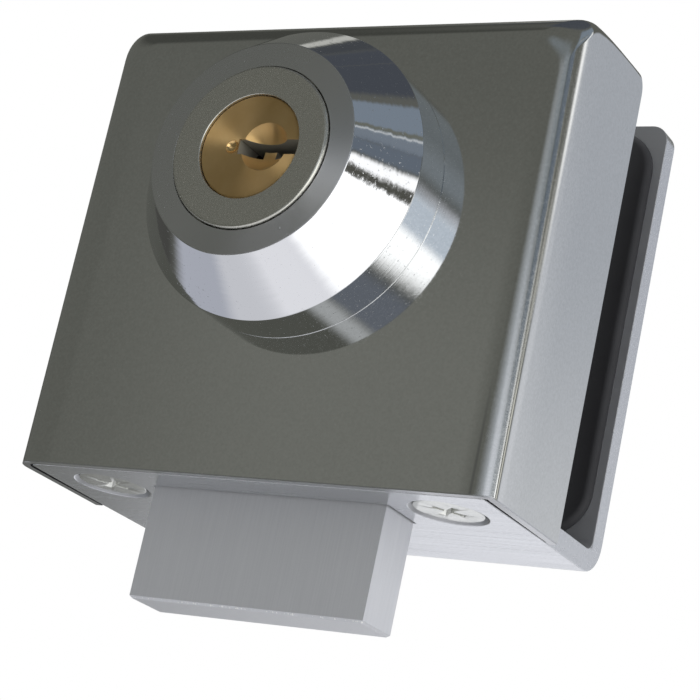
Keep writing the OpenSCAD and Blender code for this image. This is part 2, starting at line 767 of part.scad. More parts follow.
// Outline of the pinion, with a gap facing the rack on the right
module pinion_outline() {
  thickness = tooth_m * (PI / 2 + 2 * tooth_shift * tan(pressure_angle)) - backlash / 2;
  half = thickness / (2 * pitch_r) * 180 / PI + involute(tan(pressure_angle) * 180 / PI)[1];
  roll = sqrt(pow(tip_r / base_r, 2) - 1) * 180 / PI;
  steps = 6;
  step = 360 / pinion_teeth;
  flank = concat([[min(root_r, base_r), 0]], [for (k = [0 : steps]) involute(roll * k / steps)]);
  polygon([for (i = [0 : pinion_teeth - 1]) let (c = (i + 0.5) * step)
    each concat([for (p = flank) polar(p[0], c - half + p[1])],
                [for (k = [steps + 1 : -1 : 0]) polar(flank[k][0], c + half - flank[k][1])])]);
}

// Pinion on the plug's tail, with a journal that turns in the back plate
module drive_pinion() {
  color("slategray") difference() {
    union() {
      plate_xz(y_tail, bolt_y1) translate([0, axis_z]) pinion_outline();
      rod_y(journal_d / 2, bolt_y1, y_journal, 0, axis_z);
    }
    intersection() {
      rod_y(tail_d / 2 + seat_gap, y_tail - eps, y_tail_end + end_gap, 0, axis_z);
      block([-tail_flat / 2 - seat_gap, y_tail - eps, axis_z - tail_d],
            [tail_flat / 2 + seat_gap, y_tail_end + end_gap, axis_z + tail_d]);
    }
    rod_y(drive_screw_d / 2 + hole_gap, y_tail_end, y_journal + eps, 0, axis_z);
    rod_y(drive_head_r + free_gap, y_drive_head, y_journal + eps, 0, axis_z);
  }
}

// Screw that holds the pinion on the tail
module drive_screw() {
  y_head = y_drive_head + drive_head_h;
  half = drive_slot / 2;
  reach = drive_head_r + eps;
  color("silver") difference() {
    union() {
      rod_y(drive_screw_d / 2, y_tail_end - drive_screw_in, y_drive_head, 0, axis_z);
      rod_y(drive_head_r, y_drive_head, y_head, 0, axis_z);
    }
    block([-reach, y_head - drive_slot, axis_z - half], [reach, y_head + eps, axis_z + half]);
  }
}

// Flat bolt, forked above for the pinion, with the rack on the fork's right side
module bolt() {
  hw = bolt_w / 2;
  color("lightslategray") intersection() {
    plate_xz(bolt_y0, bolt_y1) {
      difference() {
        bevelled([-hw, bolt_end], [hw, bolt_top]);
        translate([-tip_r - window_gap, window_z])
          square([tip_r + window_gap + rack_root_x, bolt_top - window_z + eps]);
        for (s = [-1, 1]) translate([s * guide_pin_x, 0]) guide_slot();
      }
      rack_teeth();
    }
    bar_yz(hw + eps) bevelled([bolt_y0, bolt_end], [bolt_y1, bolt_top]);
  }
}

// Rectangle from a to b with its lower corners bevelled
module bevelled(a, b) {
  c = bolt_bevel;
  polygon([[a[0] + c, a[1]], [b[0] - c, a[1]], [b[0], a[1] + c], b, [a[0], b[1]], [a[0], a[1] + c]]);
}

// Slot that lets the bolt run its throw past a guide pin
module guide_slot() {
  r = guide_pin_d / 2 + bolt_play;
  low = guide_pin_z - bolt_throw - bolt_play;
  high = guide_pin_z + bolt_play;
  translate([0, low]) circle(r);
  translate([0, high]) circle(r);
  translate([-r, low]) square([2 * r, high - low]);
}

// Straight-sided rack teeth that face the pinion
module rack_teeth() {
  slope = tan(pressure_angle);
  half = tooth_pitch / 4 - backlash / 4;
  tip_x = datum_x - tooth_m;
  back_x = rack_root_x + eps;
  tip_half = half - tooth_m * slope;
  root_half = half + dedendum * tooth_m * slope;
  lowest = -ceil(bolt_throw / tooth_pitch) - rack_spare;
  for (k = [lowest : rack_spare]) translate([0, axis_z + k * tooth_pitch])
    polygon([[tip_x, -tip_half], [rack_root_x, -root_half], [back_x, -root_half],
             [back_x, root_half], [rack_root_x, root_half], [tip_x, tip_half]]);
}

// Pins across the case that guide the bolt and stop it at both ends of its throw
module guide_pins() {
  y_back = y_lid + guide_pin_seat - end_gap;
  color("silver") at_guide_pins() rod_y(guide_pin_d / 2, y_case + guide_pin_in, y_back);
}

cover();
bracket();
lock_case();
case_back_plate();
case_screws();
bracket_screws();
front_pad();
rear_pad();
rosette();
rosette_screws();
cylinder_housing();
driver_pins();
driver_springs();
chamber_strip();
plug();
key_pins();
plug_clip();
drive_pinion();
drive_screw();
bolt();
guide_pins();
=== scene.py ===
import math

import bmesh
import bpy
from mathutils import Matrix, Vector


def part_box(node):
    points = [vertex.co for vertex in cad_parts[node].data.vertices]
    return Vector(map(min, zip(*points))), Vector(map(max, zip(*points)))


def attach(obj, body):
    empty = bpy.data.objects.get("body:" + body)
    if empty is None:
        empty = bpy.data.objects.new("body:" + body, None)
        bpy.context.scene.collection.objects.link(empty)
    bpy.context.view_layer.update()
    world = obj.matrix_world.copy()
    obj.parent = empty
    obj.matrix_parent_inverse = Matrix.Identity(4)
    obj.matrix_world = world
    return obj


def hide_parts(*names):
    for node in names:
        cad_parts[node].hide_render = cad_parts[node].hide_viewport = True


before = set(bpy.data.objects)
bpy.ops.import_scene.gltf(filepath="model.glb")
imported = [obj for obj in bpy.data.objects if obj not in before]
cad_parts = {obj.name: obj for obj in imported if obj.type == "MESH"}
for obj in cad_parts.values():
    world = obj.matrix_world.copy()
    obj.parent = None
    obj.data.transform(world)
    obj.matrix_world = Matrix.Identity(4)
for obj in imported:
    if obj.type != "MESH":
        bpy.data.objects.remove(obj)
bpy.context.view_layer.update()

# Lock case and back plate: two zinc die castings, trimmed but not polished. The case stands on the
# bracket, carries the cylinder and guides the bolt; the plate is screwed over its back.


def colour(code):
    """A hex colour as linear red, green, blue and alpha."""
    parts = [int(code[i:i + 2], 16) / 255 for i in (1, 3, 5)]
    return [p / 12.92 if p <= 0.04045 else ((p + 0.055) / 1.055) ** 2.4 for p in parts] + [1.0]


def add(tree, kind, settings=(), inputs=()):
    """Adds one node with its settings, and sets each input to a value or links it to a socket."""
    made = tree.nodes.new(kind)
    for name, value in dict(settings).items():
        setattr(made, name, value)
    for name, value in dict(inputs).items():
        if isinstance(value, bpy.types.NodeSocket):
            tree.links.new(value, made.inputs[name])
        else:
            made.inputs[name].default_value = value
    return made


def finish_of(name, base, metallic, roughness):
    """A new material, with its tree, its shader and the piece's own coordinates in metres."""
    made = bpy.data.materials.new(name)
    made.use_nodes = True
    shader = made.node_tree.nodes["Principled BSDF"]
    shader.inputs["Base Color"].default_value = colour(base)
    shader.inputs["Metallic"].default_value = metallic
    shader.inputs["Roughness"].default_value = roughness
    where = add(made.node_tree, "ShaderNodeTexCoord").outputs["Object"]
    return made, made.node_tree, shader, where


def feed(tree, shader, sockets):
    """Links a socket to each named input of the shader."""
    for name, socket in sockets.items():
        tree.links.new(socket, shader.inputs[name])


def dress(material, *nodes):
    """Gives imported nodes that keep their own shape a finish."""
    for name in nodes:
        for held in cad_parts[name].material_slots:
            held.material = material


# Cast zinc is dull grey, with a faint orange-peel skin and darker flow marks.
cast_zinc, tree, shader, where = finish_of("die-cast zinc", "#9EA0A2", 1.0, 0.5)
flow = add(tree, "ShaderNodeTexNoise", inputs={"Vector": where, "Scale": 1 / 0.007, "Detail": 3.0})
skin = add(tree, "ShaderNodeTexNoise", inputs={"Vector": where, "Scale": 1 / 0.0005, "Detail": 2.0})
tone = add(tree, "ShaderNodeMix", {"data_type": "RGBA"},
           {0: flow.outputs["Fac"], 6: colour("#85878A"), 7: colour("#B0B2B4")})
peel = add(tree, "ShaderNodeBump",
           inputs={"Strength": 0.5, "Distance": 0.00005, "Height": skin.outputs["Fac"]})
feed(tree, shader, {"Base Color": tone.outputs[2], "Normal": peel.outputs[0]})
dress(cast_zinc, "lock_case", "case_back_plate")

# Inner steel pieces: guide pins, pinion, retaining clip and springs of bright drawn steel, and the
# screws that hold the case, the rosette and the pinion, bright zinc plated.

# Drawn wire and turned steel are a clean mid grey with fine lines and a few darker oil stains.
bright_steel, tree, shader, where = finish_of("bright steel", "#A5A6A8", 1.0, 0.3)
stain = add(tree, "ShaderNodeTexNoise", inputs={"Vector": where, "Scale": 1 / 0.002, "Detail": 4.0})
tone = add(tree, "ShaderNodeMix", {"data_type": "RGBA"},
           {0: stain.outputs["Fac"], 6: colour("#86878A"), 7: colour("#BDBEC0")})
feed(tree, shader, {"Base Color": tone.outputs[2]})
dress(bright_steel, "guide_pins", "drive_pinion", "plug_clip", "driver_springs")

# Zinc plate is a paler, slightly blue grey with a fine crystalline sparkle.
zinc_plate, tree, shader, where = finish_of("zinc plated steel", "#DCDDDA", 0.8, 0.22)
crystal = add(tree, "ShaderNodeTexVoronoi", inputs={"Vector": where, "Scale": 1 / 0.0004})
smear = add(tree, "ShaderNodeTexNoise", inputs={"Vector": where, "Scale": 1 / 0.0016, "Detail": 4.0})
tone = add(tree, "ShaderNodeMix", {"data_type": "RGBA"},
           {0: smear.outputs["Fac"], 6: colour("#C8CAC8"), 7: colour("#EBEBE6")})
sparkle = add(tree, "ShaderNodeMapRange",
              inputs={"Value": crystal.outputs["Distance"], "To Min": 0.2, "To Max": 0.27})
feed(tree, shader, {"Base Color": tone.outputs[2], "Roughness": sparkle.outputs[0]})
dress(zinc_plate, "case_screws", "rosette_screws", "drive_screw")

# Bolt: a flat bar of milled steel that slides down through the bracket. Its faces are ground along
# the bar, and the cutter left burrs on the lower and right edges of its front.

# Ground steel is a plain grey with streaks along the grind, fine on the front and coarser on the sides.
milled_steel, tree, shader, where = finish_of("milled steel", "#D4D5D9", 0.5, 0.4)
drawn_out = add(tree, "ShaderNodeMapping", {"vector_type": "POINT"},
                {"Vector": where, "Scale": (1 / 0.00018, 1 / 0.0006, 1 / 0.009)})
streak = add(tree, "ShaderNodeTexNoise", inputs={"Vector": drawn_out.outputs[0], "Scale": 1.0, "Detail": 5.0})
grit = add(tree, "ShaderNodeTexNoise", inputs={"Vector": where, "Scale": 1 / 0.00022, "Detail": 2.0})
marks = add(tree, "ShaderNodeMath", {"operation": "MULTIPLY_ADD"},
            {0: streak.outputs["Fac"], 1: 0.6, 2: grit.outputs["Fac"]})
tone = add(tree, "ShaderNodeMix", {"data_type": "RGBA"},
           {0: streak.outputs["Fac"], 6: colour("#CBCCD0"), 7: colour("#D8D9DC")})
grind = add(tree, "ShaderNodeBump",
            inputs={"Strength": 0.35, "Distance": 0.00004, "Height": marks.outputs[0]})
feed(tree, shader, {"Base Color": tone.outputs[2], "Normal": grind.outputs[0]})
dress(milled_steel, "bolt")


def linked(name, mesh):
    """A new object in the scene."""
    made = bpy.data.objects.new(name, mesh)
    bpy.context.scene.collection.objects.link(made)
    return made


def formed(name, shape, *materials):
    """A new object from a working mesh, with its finish if it has one."""
    mesh = bpy.data.meshes.new(name)
    shape.to_mesh(mesh)
    for material in materials:
        mesh.materials.append(material)
    return linked(name, mesh)


def settled(thing):
    """The plain mesh that an object's modifiers give; the object itself is taken away."""
    bpy.context.view_layer.update()
    mesh = bpy.data.meshes.new_from_object(thing.evaluated_get(bpy.context.evaluated_depsgraph_get()))
    bpy.data.objects.remove(thing)
    return mesh


def coated(mesh, material):
    """The mesh with one finish on all its faces."""
    mesh.materials.clear()
    mesh.materials.append(material)
    for face in mesh.polygons:
        face.material_index = 0
    return mesh


def grown(name, tree, start, values):
    """The mesh that a tree of geometry nodes makes from a starting mesh and its named inputs."""
    thing = linked(name, start)
    grower = thing.modifiers.new("grown", "NODES")
    grower.node_group = tree
    for item in tree.interface.items_tree:
        if item.name in values:
            grower[item.identifier] = values[item.name]
    return coated(settled(thing), values["Finish"])


def tree_of(name, inputs):
    """A geometry tree with named inputs: the tree, its input sockets and its output node."""
    tree = bpy.data.node_groups.new(name, "GeometryNodeTree")
    tree.is_modifier = True
    tree.interface.new_socket("Start", in_out="INPUT", socket_type="NodeSocketGeometry")
    for label, kind in inputs.items():
        tree.interface.new_socket(label, in_out="INPUT", socket_type="NodeSocket" + kind)
    tree.interface.new_socket("Made", in_out="OUTPUT", socket_type="NodeSocketGeometry")
    return tree, add(tree, "NodeGroupInput").outputs, tree.nodes.new("NodeGroupOutput")


# Burrs are thin bright slivers strewn along an edge at random from a fixed seed.
burr_tree, given, out = tree_of("burrs along an edge", {
    "From": "Vector", "To": "Vector", "Count": "Int", "Width": "Float", "Seed": "Int", "Finish": "Material"})
edge = add(burr_tree, "GeometryNodeMeshLine", {"mode": "END_POINTS"},
           {"Count": given["Count"], "Start Location": given["From"], "Offset": given["To"]})
jitter = add(burr_tree, "FunctionNodeRandomValue", {"data_type": "FLOAT"}, {2: 0.0, 3: 1.0, 8: given["Seed"]})
kept = add(burr_tree, "ShaderNodeMath", {"operation": "GREATER_THAN"}, {0: jitter.outputs[1], 1: 0.45})
sliver = add(burr_tree, "GeometryNodeMeshIcoSphere", inputs={"Radius": given["Width"], "Subdivisions": 1})
turn = add(burr_tree, "FunctionNodeRandomValue", {"data_type": "FLOAT_VECTOR"},
           {0: (0.0, 0.0, 0.0), 1: (6.28, 6.28, 6.28), 8: given["Seed"]})
girth = add(burr_tree, "FunctionNodeRandomValue", {"data_type": "FLOAT_VECTOR"},
            {0: (0.3, 0.3, 0.3), 1: (1.0, 1.0, 1.0), 8: given["Seed"]})
strewn = add(burr_tree, "GeometryNodeInstanceOnPoints",
             inputs={"Points": edge.outputs[0], "Selection": kept.outputs[0], "Instance": sliver.outputs[0],
                     "Rotation": turn.outputs[0], "Scale": girth.outputs[0]})
whole = add(burr_tree, "GeometryNodeRealizeInstances", inputs={0: strewn.outputs[0]})
painted = add(burr_tree, "GeometryNodeSetMaterial",
              inputs={"Geometry": whole.outputs[0], "Material": given["Finish"]})
burr_tree.links.new(painted.outputs[0], out.inputs[0])

# Fresh burrs are brighter than the ground faces; their near-white, mostly diffuse colour is partly a painted
# glint.
fresh_cut_and_glint, tree, shader, where = finish_of("freshly cut steel", "#F4F4F2", 0.3, 0.35)
fleck = add(tree, "ShaderNodeTexNoise", inputs={"Vector": where, "Scale": 1 / 0.0003, "Detail": 2.0})
tone = add(tree, "ShaderNodeMix", {"data_type": "RGBA"},
           {0: fleck.outputs["Fac"], 6: colour("#DCDCDA"), 7: colour("#FFFFFF")})
feed(tree, shader, {"Base Color": tone.outputs[2]})

bolt_low, bolt_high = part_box("bolt")
burr_w = 0.0002
burr_in = 0.00021
burr_top_z = -0.003
corner = Vector((bolt_high.x - burr_in, bolt_low.y + burr_in, bolt_low.z + burr_in))
burr_runs = ((Vector((bolt_low.x, corner.y, corner.z)), 120), (Vector((corner.x, corner.y, burr_top_z)), 80))
burrs = bmesh.new()
for seed, (far, count) in enumerate(burr_runs, start=3):
    burrs.from_mesh(grown("bolt_burr", burr_tree, bpy.data.meshes.new("edge"), {
        "From": corner, "To": far, "Count": count, "Width": burr_w, "Seed": seed, "Finish": fresh_cut_and_glint}))
bolt_burrs = formed("bolt_burrs", burrs, fresh_cut_and_glint)
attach(bolt_burrs, "bolt_group")

# Cylinder housing: turned brass, nickel plated and satin, with a shoulder that the rosette's lip
# grips and a rib along one side for the pin chambers. Only its face shows, round the plug.

MM = 0.001
axis_z = 32.9
cyl_face_y = -38.35
cyl_face_r = 10.2
shoulder_y = -35.68
shoulder_r = 12
body_back_y = -23.7
neck_r = 9
cyl_back_y = -19.8
face_bore_r = 6.55
face_bore_foot = -36.42
plug_bore_r = 6.25
rib_low = (-14.4, -34.3, axis_z - 3.2)
rib_high = (-7.6, -20.5, axis_z + 3.2)
past_rib_x = -15
pin_bore_r = 1.15
pin_rows = [-32.8 + 2.7 * k for k in range(5)]
strip_play = 0.02


def rounded(points, closed=True, steps=5):
    """A profile in mm with rounded corners: a corner is its distance from the axis, its y and its radius."""
    made = []
    count = len(points)
    for i, corner in enumerate(points):
        here = Vector(corner[:2])
        size = corner[2]
        if size == 0 or (not closed and i in (0, count - 1)):
            made.append(here)
            continue
        back = (Vector(points[i - 1][:2]) - here).normalized()
        ahead = (Vector(points[(i + 1) % count][:2]) - here).normalized()
        half = back.angle(ahead) / 2
        reach = size / math.tan(half)
        middle = here + (back + ahead).normalized() * size / math.sin(half)
        first, last = here + back * reach, here + ahead * reach
        for k in range(steps + 1):
            spoke = (first - middle).lerp(last - middle, k / steps).normalized()
            made.append(middle + spoke * size)
    return made


# The lathe: each vertex of a grid takes its radius and height from a point of the profile and its
# angle from its place round the axis, and the seam and the poles are then merged.
lathe, given, out = tree_of("turned on a lathe", {"Segments": "Int", "Finish": "Material"})
place = add(lathe, "GeometryNodeInputPosition").outputs[0]
points = add(lathe, "GeometryNodeAttributeDomainSize", {"component": "MESH"}, {0: given["Start"]}).outputs[0]
columns = add(lathe, "ShaderNodeMath", {"operation": "ADD"}, {0: given["Segments"], 1: 1.0}).outputs[0]
sheet = add(lathe, "GeometryNodeMeshGrid",
            inputs={"Size X": 1.0, "Size Y": 1.0, "Vertices X": points, "Vertices Y": columns})
spread = add(lathe, "ShaderNodeSeparateXYZ", inputs={0: place}).outputs
last_point = add(lathe, "ShaderNodeMath", {"operation": "SUBTRACT"}, {0: points, 1: 1.0}).outputs[0]
row = add(lathe, "ShaderNodeMapRange", inputs={
    "Value": spread[0], "From Min": -0.5, "From Max": 0.5, "To Min": 0.0, "To Max": last_point}).outputs[0]
angle = add(lathe, "ShaderNodeMapRange", inputs={
    "Value": spread[1], "From Min": -0.5, "From Max": 0.5, "To Min": 0.0, "To Max": math.tau}).outputs[0]
index = add(lathe, "FunctionNodeFloatToInt", {"rounding_mode": "ROUND"}, {0: row}).outputs[0]
section = add(lathe, "GeometryNodeSampleIndex", {"data_type": "FLOAT_VECTOR", "domain": "POINT"},
              {"Geometry": given["Start"], "Value": place, "Index": index}).outputs[0]
section = add(lathe, "ShaderNodeSeparateXYZ", inputs={0: section}).outputs
across, up = (add(lathe, "ShaderNodeMath", {"operation": "MULTIPLY"}, {
    0: section[0], 1: add(lathe, "ShaderNodeMath", {"operation": side}, {0: angle}).outputs[0]}).outputs[0]
    for side in ("COSINE", "SINE"))
there = add(lathe, "ShaderNodeCombineXYZ", inputs={0: across, 1: section[1], 2: up}).outputs[0]
swept = add(lathe, "GeometryNodeSetPosition",
            inputs={"Geometry": sheet.outputs[0], "Position": there}).outputs[0]
closed = add(lathe, "GeometryNodeMergeByDistance", inputs={"Geometry": swept, "Distance": 1e-7}).outputs[0]
whole = add(lathe, "GeometryNodeRealizeInstances", inputs={0: closed}).outputs[0]
painted = add(lathe, "GeometryNodeSetMaterial", inputs={"Geometry": whole, "Material": given["Finish"]})
lathe.links.new(painted.outputs[0], out.inputs[0])


def turned(name, profile, material, segments=192, closed=True):
    """A piece turned from a profile in mm about the y axis, moved up to the lock's own axis."""
    line = bpy.data.meshes.new(name)
    spots = [(p[0] * MM, p[1] * MM, 0) for p in profile]
    if closed:
        spots.append(spots[0])
    line.from_pydata(spots, [(i, i + 1) for i in range(len(spots) - 1)], [])
    mesh = grown(name, lathe, line, {"Segments": segments, "Finish": material})
    shape = bmesh.new()
    shape.from_mesh(mesh)
    bmesh.ops.remove_doubles(shape, verts=shape.verts, dist=1e-7)
    bmesh.ops.recalc_face_normals(shape, faces=shape.faces)
    bmesh.ops.translate(shape, verts=shape.verts, vec=(0, 0, axis_z * MM))
    shape.to_mesh(mesh)
    return linked(name, mesh)


def slab(low, high):
    """A cutting block between two corners in mm."""
    shape = bmesh.new()
    bmesh.ops.create_cube(shape, size=1.0)
    for v in shape.verts:
        v.co = Vector([(low[k] if v.co[k] < 0 else high[k]) * MM for k in range(3)])
    return formed("slab", shape)


def beam(outline, start, end):
    """A cutting beam along x between two places, from an outline in y and z, all in mm."""
    shape = bmesh.new()
    near = shape.faces.new([shape.verts.new((start * MM, y * MM, z * MM)) for y, z in outline])
    far = bmesh.ops.extrude_face_region(shape, geom=[near])["geom"]
    far = [v for v in far if isinstance(v, bmesh.types.BMVert)]
    bmesh.ops.translate(shape, verts=far, vec=((end - start) * MM, 0, 0))
    bmesh.ops.recalc_face_normals(shape, faces=shape.faces)
    return formed("beam", shape)


def drill(radius, start, end, segments=64):
    """A cutting drill in mm between two points."""
    shape = bmesh.new()
    start, end = Vector(start) * MM, Vector(end) * MM
    bmesh.ops.create_cone(shape, cap_ends=True, segments=segments, radius1=radius * MM,
                          radius2=radius * MM, depth=(end - start).length)
    aim = (end - start).to_track_quat("Z", "Y").to_matrix().to_4x4()
    bmesh.ops.transform(shape, matrix=Matrix.Translation((start + end) / 2) @ aim, verts=shape.verts)
    return formed("drill", shape)


def ball(radius, middle):
    """A cutting ball in mm."""
    shape = bmesh.new()
    bmesh.ops.create_uvsphere(shape, u_segments=128, v_segments=96, radius=radius * MM)
    bmesh.ops.translate(shape, verts=shape.verts, vec=Vector(middle) * MM)
    return formed("ball", shape)


def joined(thing, tools, how="DIFFERENCE"):
    """The object after each tool has cut it or been joined to it."""
    name = thing.name
    for tool in tools:
        step = thing.modifiers.new("tool", "BOOLEAN")
        step.operation, step.object, step.solver = how, tool, "EXACT"
        tool.hide_render = True
    materials = list(thing.data.materials)
    mesh = settled(thing)
    for tool in tools:
        bpy.data.objects.remove(tool)
    mesh.name = name
    return linked(name, coated(mesh, *materials) if materials else mesh)


def smoothed(thing, edge=0.0, sharp=40):
    """Smooth shading that keeps flat faces flat, with an edge radius in mm on the sharp edges."""
    if edge:
        break_edge = thing.modifiers.new("broken edges", "BEVEL")
        break_edge.width, break_edge.segments = edge * MM, 2
        break_edge.limit_method, break_edge.angle_limit = "ANGLE", math.radians(sharp)
        break_edge.miter_outer = "MITER_ARC"
    thing.data.shade_smooth()
    if not edge:
        thing.data.set_sharp_from_angle(angle=math.radians(sharp))
    flat = thing.modifiers.new("flat faces", "WEIGHTED_NORMAL")
    flat.keep_sharp = True


def turning_marks(tree, where, pitch, strength):
    """Fine rings as the lathe leaves them: the place measured from the axis, and the tilted shading."""
    centred = add(tree, "ShaderNodeMapping", {"vector_type": "POINT"},
                  {"Vector": where, "Location": (0, 0, -axis_z * MM), "Scale": (1, 0, 1)}).outputs[0]
    reach = add(tree, "ShaderNodeVectorMath", {"operation": "LENGTH"}, {0: centred}).outputs["Value"]
    rings = add(tree, "ShaderNodeTexNoise", {"noise_dimensions": "1D"},
                {"W": reach, "Scale": 1 / pitch, "Detail": 3.0}).outputs["Fac"]
    lines = add(tree, "ShaderNodeBump", inputs={"Strength": strength, "Distance": 0.00001, "Height": rings})
    return centred, lines.outputs[0]


# Satin nickel is a warm grey, brushed round and round by the lathe, with handling specks.
satin_nickel, tree, shader, where = finish_of("satin nickel plate", "#CDCCC4", 0.92, 0.24)
lines = turning_marks(tree, where, 0.00012, 0.04)[1]
speck = add(tree, "ShaderNodeTexNoise", inputs={"Vector": where, "Scale": 1 / 0.0003, "Detail": 3.0})
worn = add(tree, "ShaderNodeMapRange", inputs={
    "Value": speck.outputs["Fac"], "From Min": 0.5, "From Max": 0.75, "To Min": 0.25, "To Max": 0.3})
tone = add(tree, "ShaderNodeMix", {"data_type": "RGBA"},
           {0: speck.outputs["Fac"], 6: colour("#C8C7BE"), 7: colour("#D2D1C9")})
feed(tree, shader, {"Base Color": tone.outputs[2], "Roughness": worn.outputs[0], "Normal": lines})

housing = turned("cylinder_body", rounded([
    (face_bore_r, cyl_face_y, 0.15), (cyl_face_r, cyl_face_y, 0.38), (cyl_face_r, shoulder_y, 0.05),
    (shoulder_r, shoulder_y, 0.1), (shoulder_r, body_back_y, 0.1), (neck_r, body_back_y, 0.05),
    (neck_r, cyl_back_y, 0.1), (plug_bore_r, cyl_back_y, 0.05), (plug_bore_r, face_bore_foot, 0.05),
    (face_bore_r, face_bore_foot, 0.05)]), satin_nickel)
housing = joined(housing, [slab(rib_low, rib_high)], "UNION")
chambers = [drill(pin_bore_r, (past_rib_x, y, axis_z), (-5.5, y, axis_z)) for y in pin_rows]
strip_low, strip_high = (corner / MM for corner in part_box("chamber_strip"))
strip_slot = slab((past_rib_x, strip_low.y - 0.5, strip_low.z - strip_play),
                  (strip_high.x + strip_play, strip_high.y + 0.5, strip_high.z + strip_play))
housing = joined(housing, chambers + [strip_slot])
smoothed(housing)
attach(housing, "lock_body")
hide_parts("cylinder_housing")

# Plug and pins: the plug is turned brass with a milled keyway that opens to the right, a dished key
# guide and a drilled pit at its closed end; the pins and the strip over their springs are brass too.

plug_face_y = -38.07
plug_face_r = 6.5
plug_r = 6.2
plug_step_y = -36.47
plug_back_y = -18.1
clip_r = 5.4
clip_front_y = -19.75
clip_back_y = -19.05
dish_x = 2.0
dish_r = 3.4
dish_rim_r = 3.0
pit_r = 1.0
pit_x = -2.35
keyway_left = -1.6
keyway_half = 0.95
keyway_foot = -21
ward_y = plug_face_y + 0.9
before_face = -39
tail_r = 2.0
tail_flat = 1.5
tail_end_y = -12


def between(tree, value, start, end):
    """A soft step in the tree: 0 where the value is at start, 1 at end, both in mm."""
    return add(tree, "ShaderNodeMapRange", {"interpolation_type": "SMOOTHSTEP"}, {
        "Value": value, "From Min": start * MM, "From Max": end * MM}).outputs[0]


def times(tree, *values):
    """The product of several masks in the tree."""
    whole = values[0]
    for value in values[1:]:
        whole = add(tree, "ShaderNodeMath", {"operation": "MULTIPLY"}, {0: whole, 1: value}).outputs[0]
    return whole


# Turned brass is warm and bright, with fine rings that draw light out into two streaks; the dish and the pit
# are burnished. Painted shade darkens and dulls the keyway's walls, and the deep inside is painted pale grey
# as painted light.
turned_brass, tree, shader, where = finish_of("turned brass", "#D8B27F", 0.9, 0.52)
shader.inputs["Anisotropic"].default_value = 0.97
shader.inputs["Anisotropic Rotation"].default_value = 0.25
centred, lines = turning_marks(tree, where, 0.00009, 0.3)
tarnish = add(tree, "ShaderNodeTexNoise", inputs={"Vector": where, "Scale": 1 / 0.0025, "Detail": 4.0})
tone = add(tree, "ShaderNodeMix", {"data_type": "RGBA"},
           {0: tarnish.outputs["Fac"], 6: colour("#D4AE70"), 7: colour("#E8C890")}).outputs[2]
place = add(tree, "ShaderNodeSeparateXYZ", inputs={0: where}).outputs
sunk = between(tree, place[1], plug_face_y + 0.03, plug_face_y + 0.12)
pit = times(tree, sunk, between(tree, place[0], -1.3, -1.5))
# Painted light: the deep inside of the keyway takes a pale grey that sets the tone of its shade.
deep = between(tree, place[1], plug_face_y + 2.2, plug_face_y + 4.0)
# Painted shade: the keyway's walls just inside the face are painted darker and less metallic.
normal = add(tree, "ShaderNodeNewGeometry").outputs["True Normal"]
facing = add(tree, "ShaderNodeSeparateXYZ", inputs={0: normal}).outputs[1]
upright = add(tree, "ShaderNodeMath", {"operation": "COMPARE"}, {0: facing, 1: 0.0, 2: 0.3}).outputs[0]
keyway_painted_shade = times(tree, upright, between(tree, place[1], plug_face_y + 0.1, plug_face_y + 0.35),
             between(tree, place[0], keyway_left - 0.2, keyway_left - 0.02))
for mask, code in ((deep, "#D8D4C8"), (keyway_painted_shade, "#8A867A")):
    tone = add(tree, "ShaderNodeMix", {"data_type": "RGBA"}, {0: mask, 6: tone, 7: colour(code)}).outputs[2]
metallic_less_in_shade = add(tree, "ShaderNodeMath", {"operation": "MULTIPLY_ADD"}, {0: keyway_painted_shade, 1: -0.8, 2: 0.9}).outputs[0]
burnish = 0.52
for mask, change in ((sunk, -0.14), (pit, -0.24)):
    burnish = add(tree, "ShaderNodeMath", {"operation": "MULTIPLY_ADD"},
                  {0: mask, 1: change, 2: burnish}).outputs[0]
dish_middle = add(tree, "ShaderNodeVectorMath", {"operation": "SCALE"},
                  {0: (dish_x * MM, 0, 0), "Scale": sunk})
spoke = add(tree, "ShaderNodeVectorMath", {"operation": "SUBTRACT"},
            {0: centred, 1: dish_middle.outputs[0]})
spin = add(tree, "ShaderNodeVectorMath", {"operation": "CROSS_PRODUCT"}, {0: spoke.outputs[0], 1: (0, 1, 0)})
spin = add(tree, "ShaderNodeVectorMath", {"operation": "NORMALIZE"}, {0: spin.outputs[0]})
feed(tree, shader, {
    "Base Color": tone, "Metallic": metallic_less_in_shade, "Roughness": burnish, "Normal": lines, "Tangent": spin.outputs[0]})
dress(turned_brass, "key_pins", "driver_pins", "chamber_strip")

plug = turned("plug_turned", rounded([
    (0, plug_face_y, 0), (plug_face_r, plug_face_y, 0.3), (plug_face_r, plug_step_y, 0.05),
    (plug_r, plug_step_y, 0.05), (plug_r, clip_front_y, 0.05), (clip_r, clip_front_y, 0.05),
    (clip_r, clip_back_y, 0.05), (plug_r, clip_back_y, 0.05), (plug_r, plug_back_y, 0.1),
    (0, plug_back_y, 0)], closed=False), turned_brass, closed=False)
key_low, key_high = axis_z - keyway_half, axis_z + keyway_half
dish_y = plug_face_y - math.sqrt(dish_r ** 2 - dish_rim_r ** 2)
plug = joined(plug, [
    ball(dish_r, (dish_x, dish_y, axis_z)),
    ball(pit_r, (pit_x, plug_face_y - 0.52, axis_z)),
    slab((keyway_left, before_face, key_low), (1.2, keyway_foot, key_high)),
    slab((1.1, before_face, axis_z), (2.9, keyway_foot, key_high)),
    slab((1.1, before_face, key_low), (2.9, ward_y, axis_z + 0.1)),
    slab((2.8, before_face, key_low), (8, keyway_foot, key_high))]
    + [drill(pin_bore_r, (-7, y, axis_z), (-1.5, y, axis_z)) for y in pin_rows])
tail = drill(tail_r, (0, plug_back_y - 0.3, axis_z), (0, tail_end_y, axis_z))
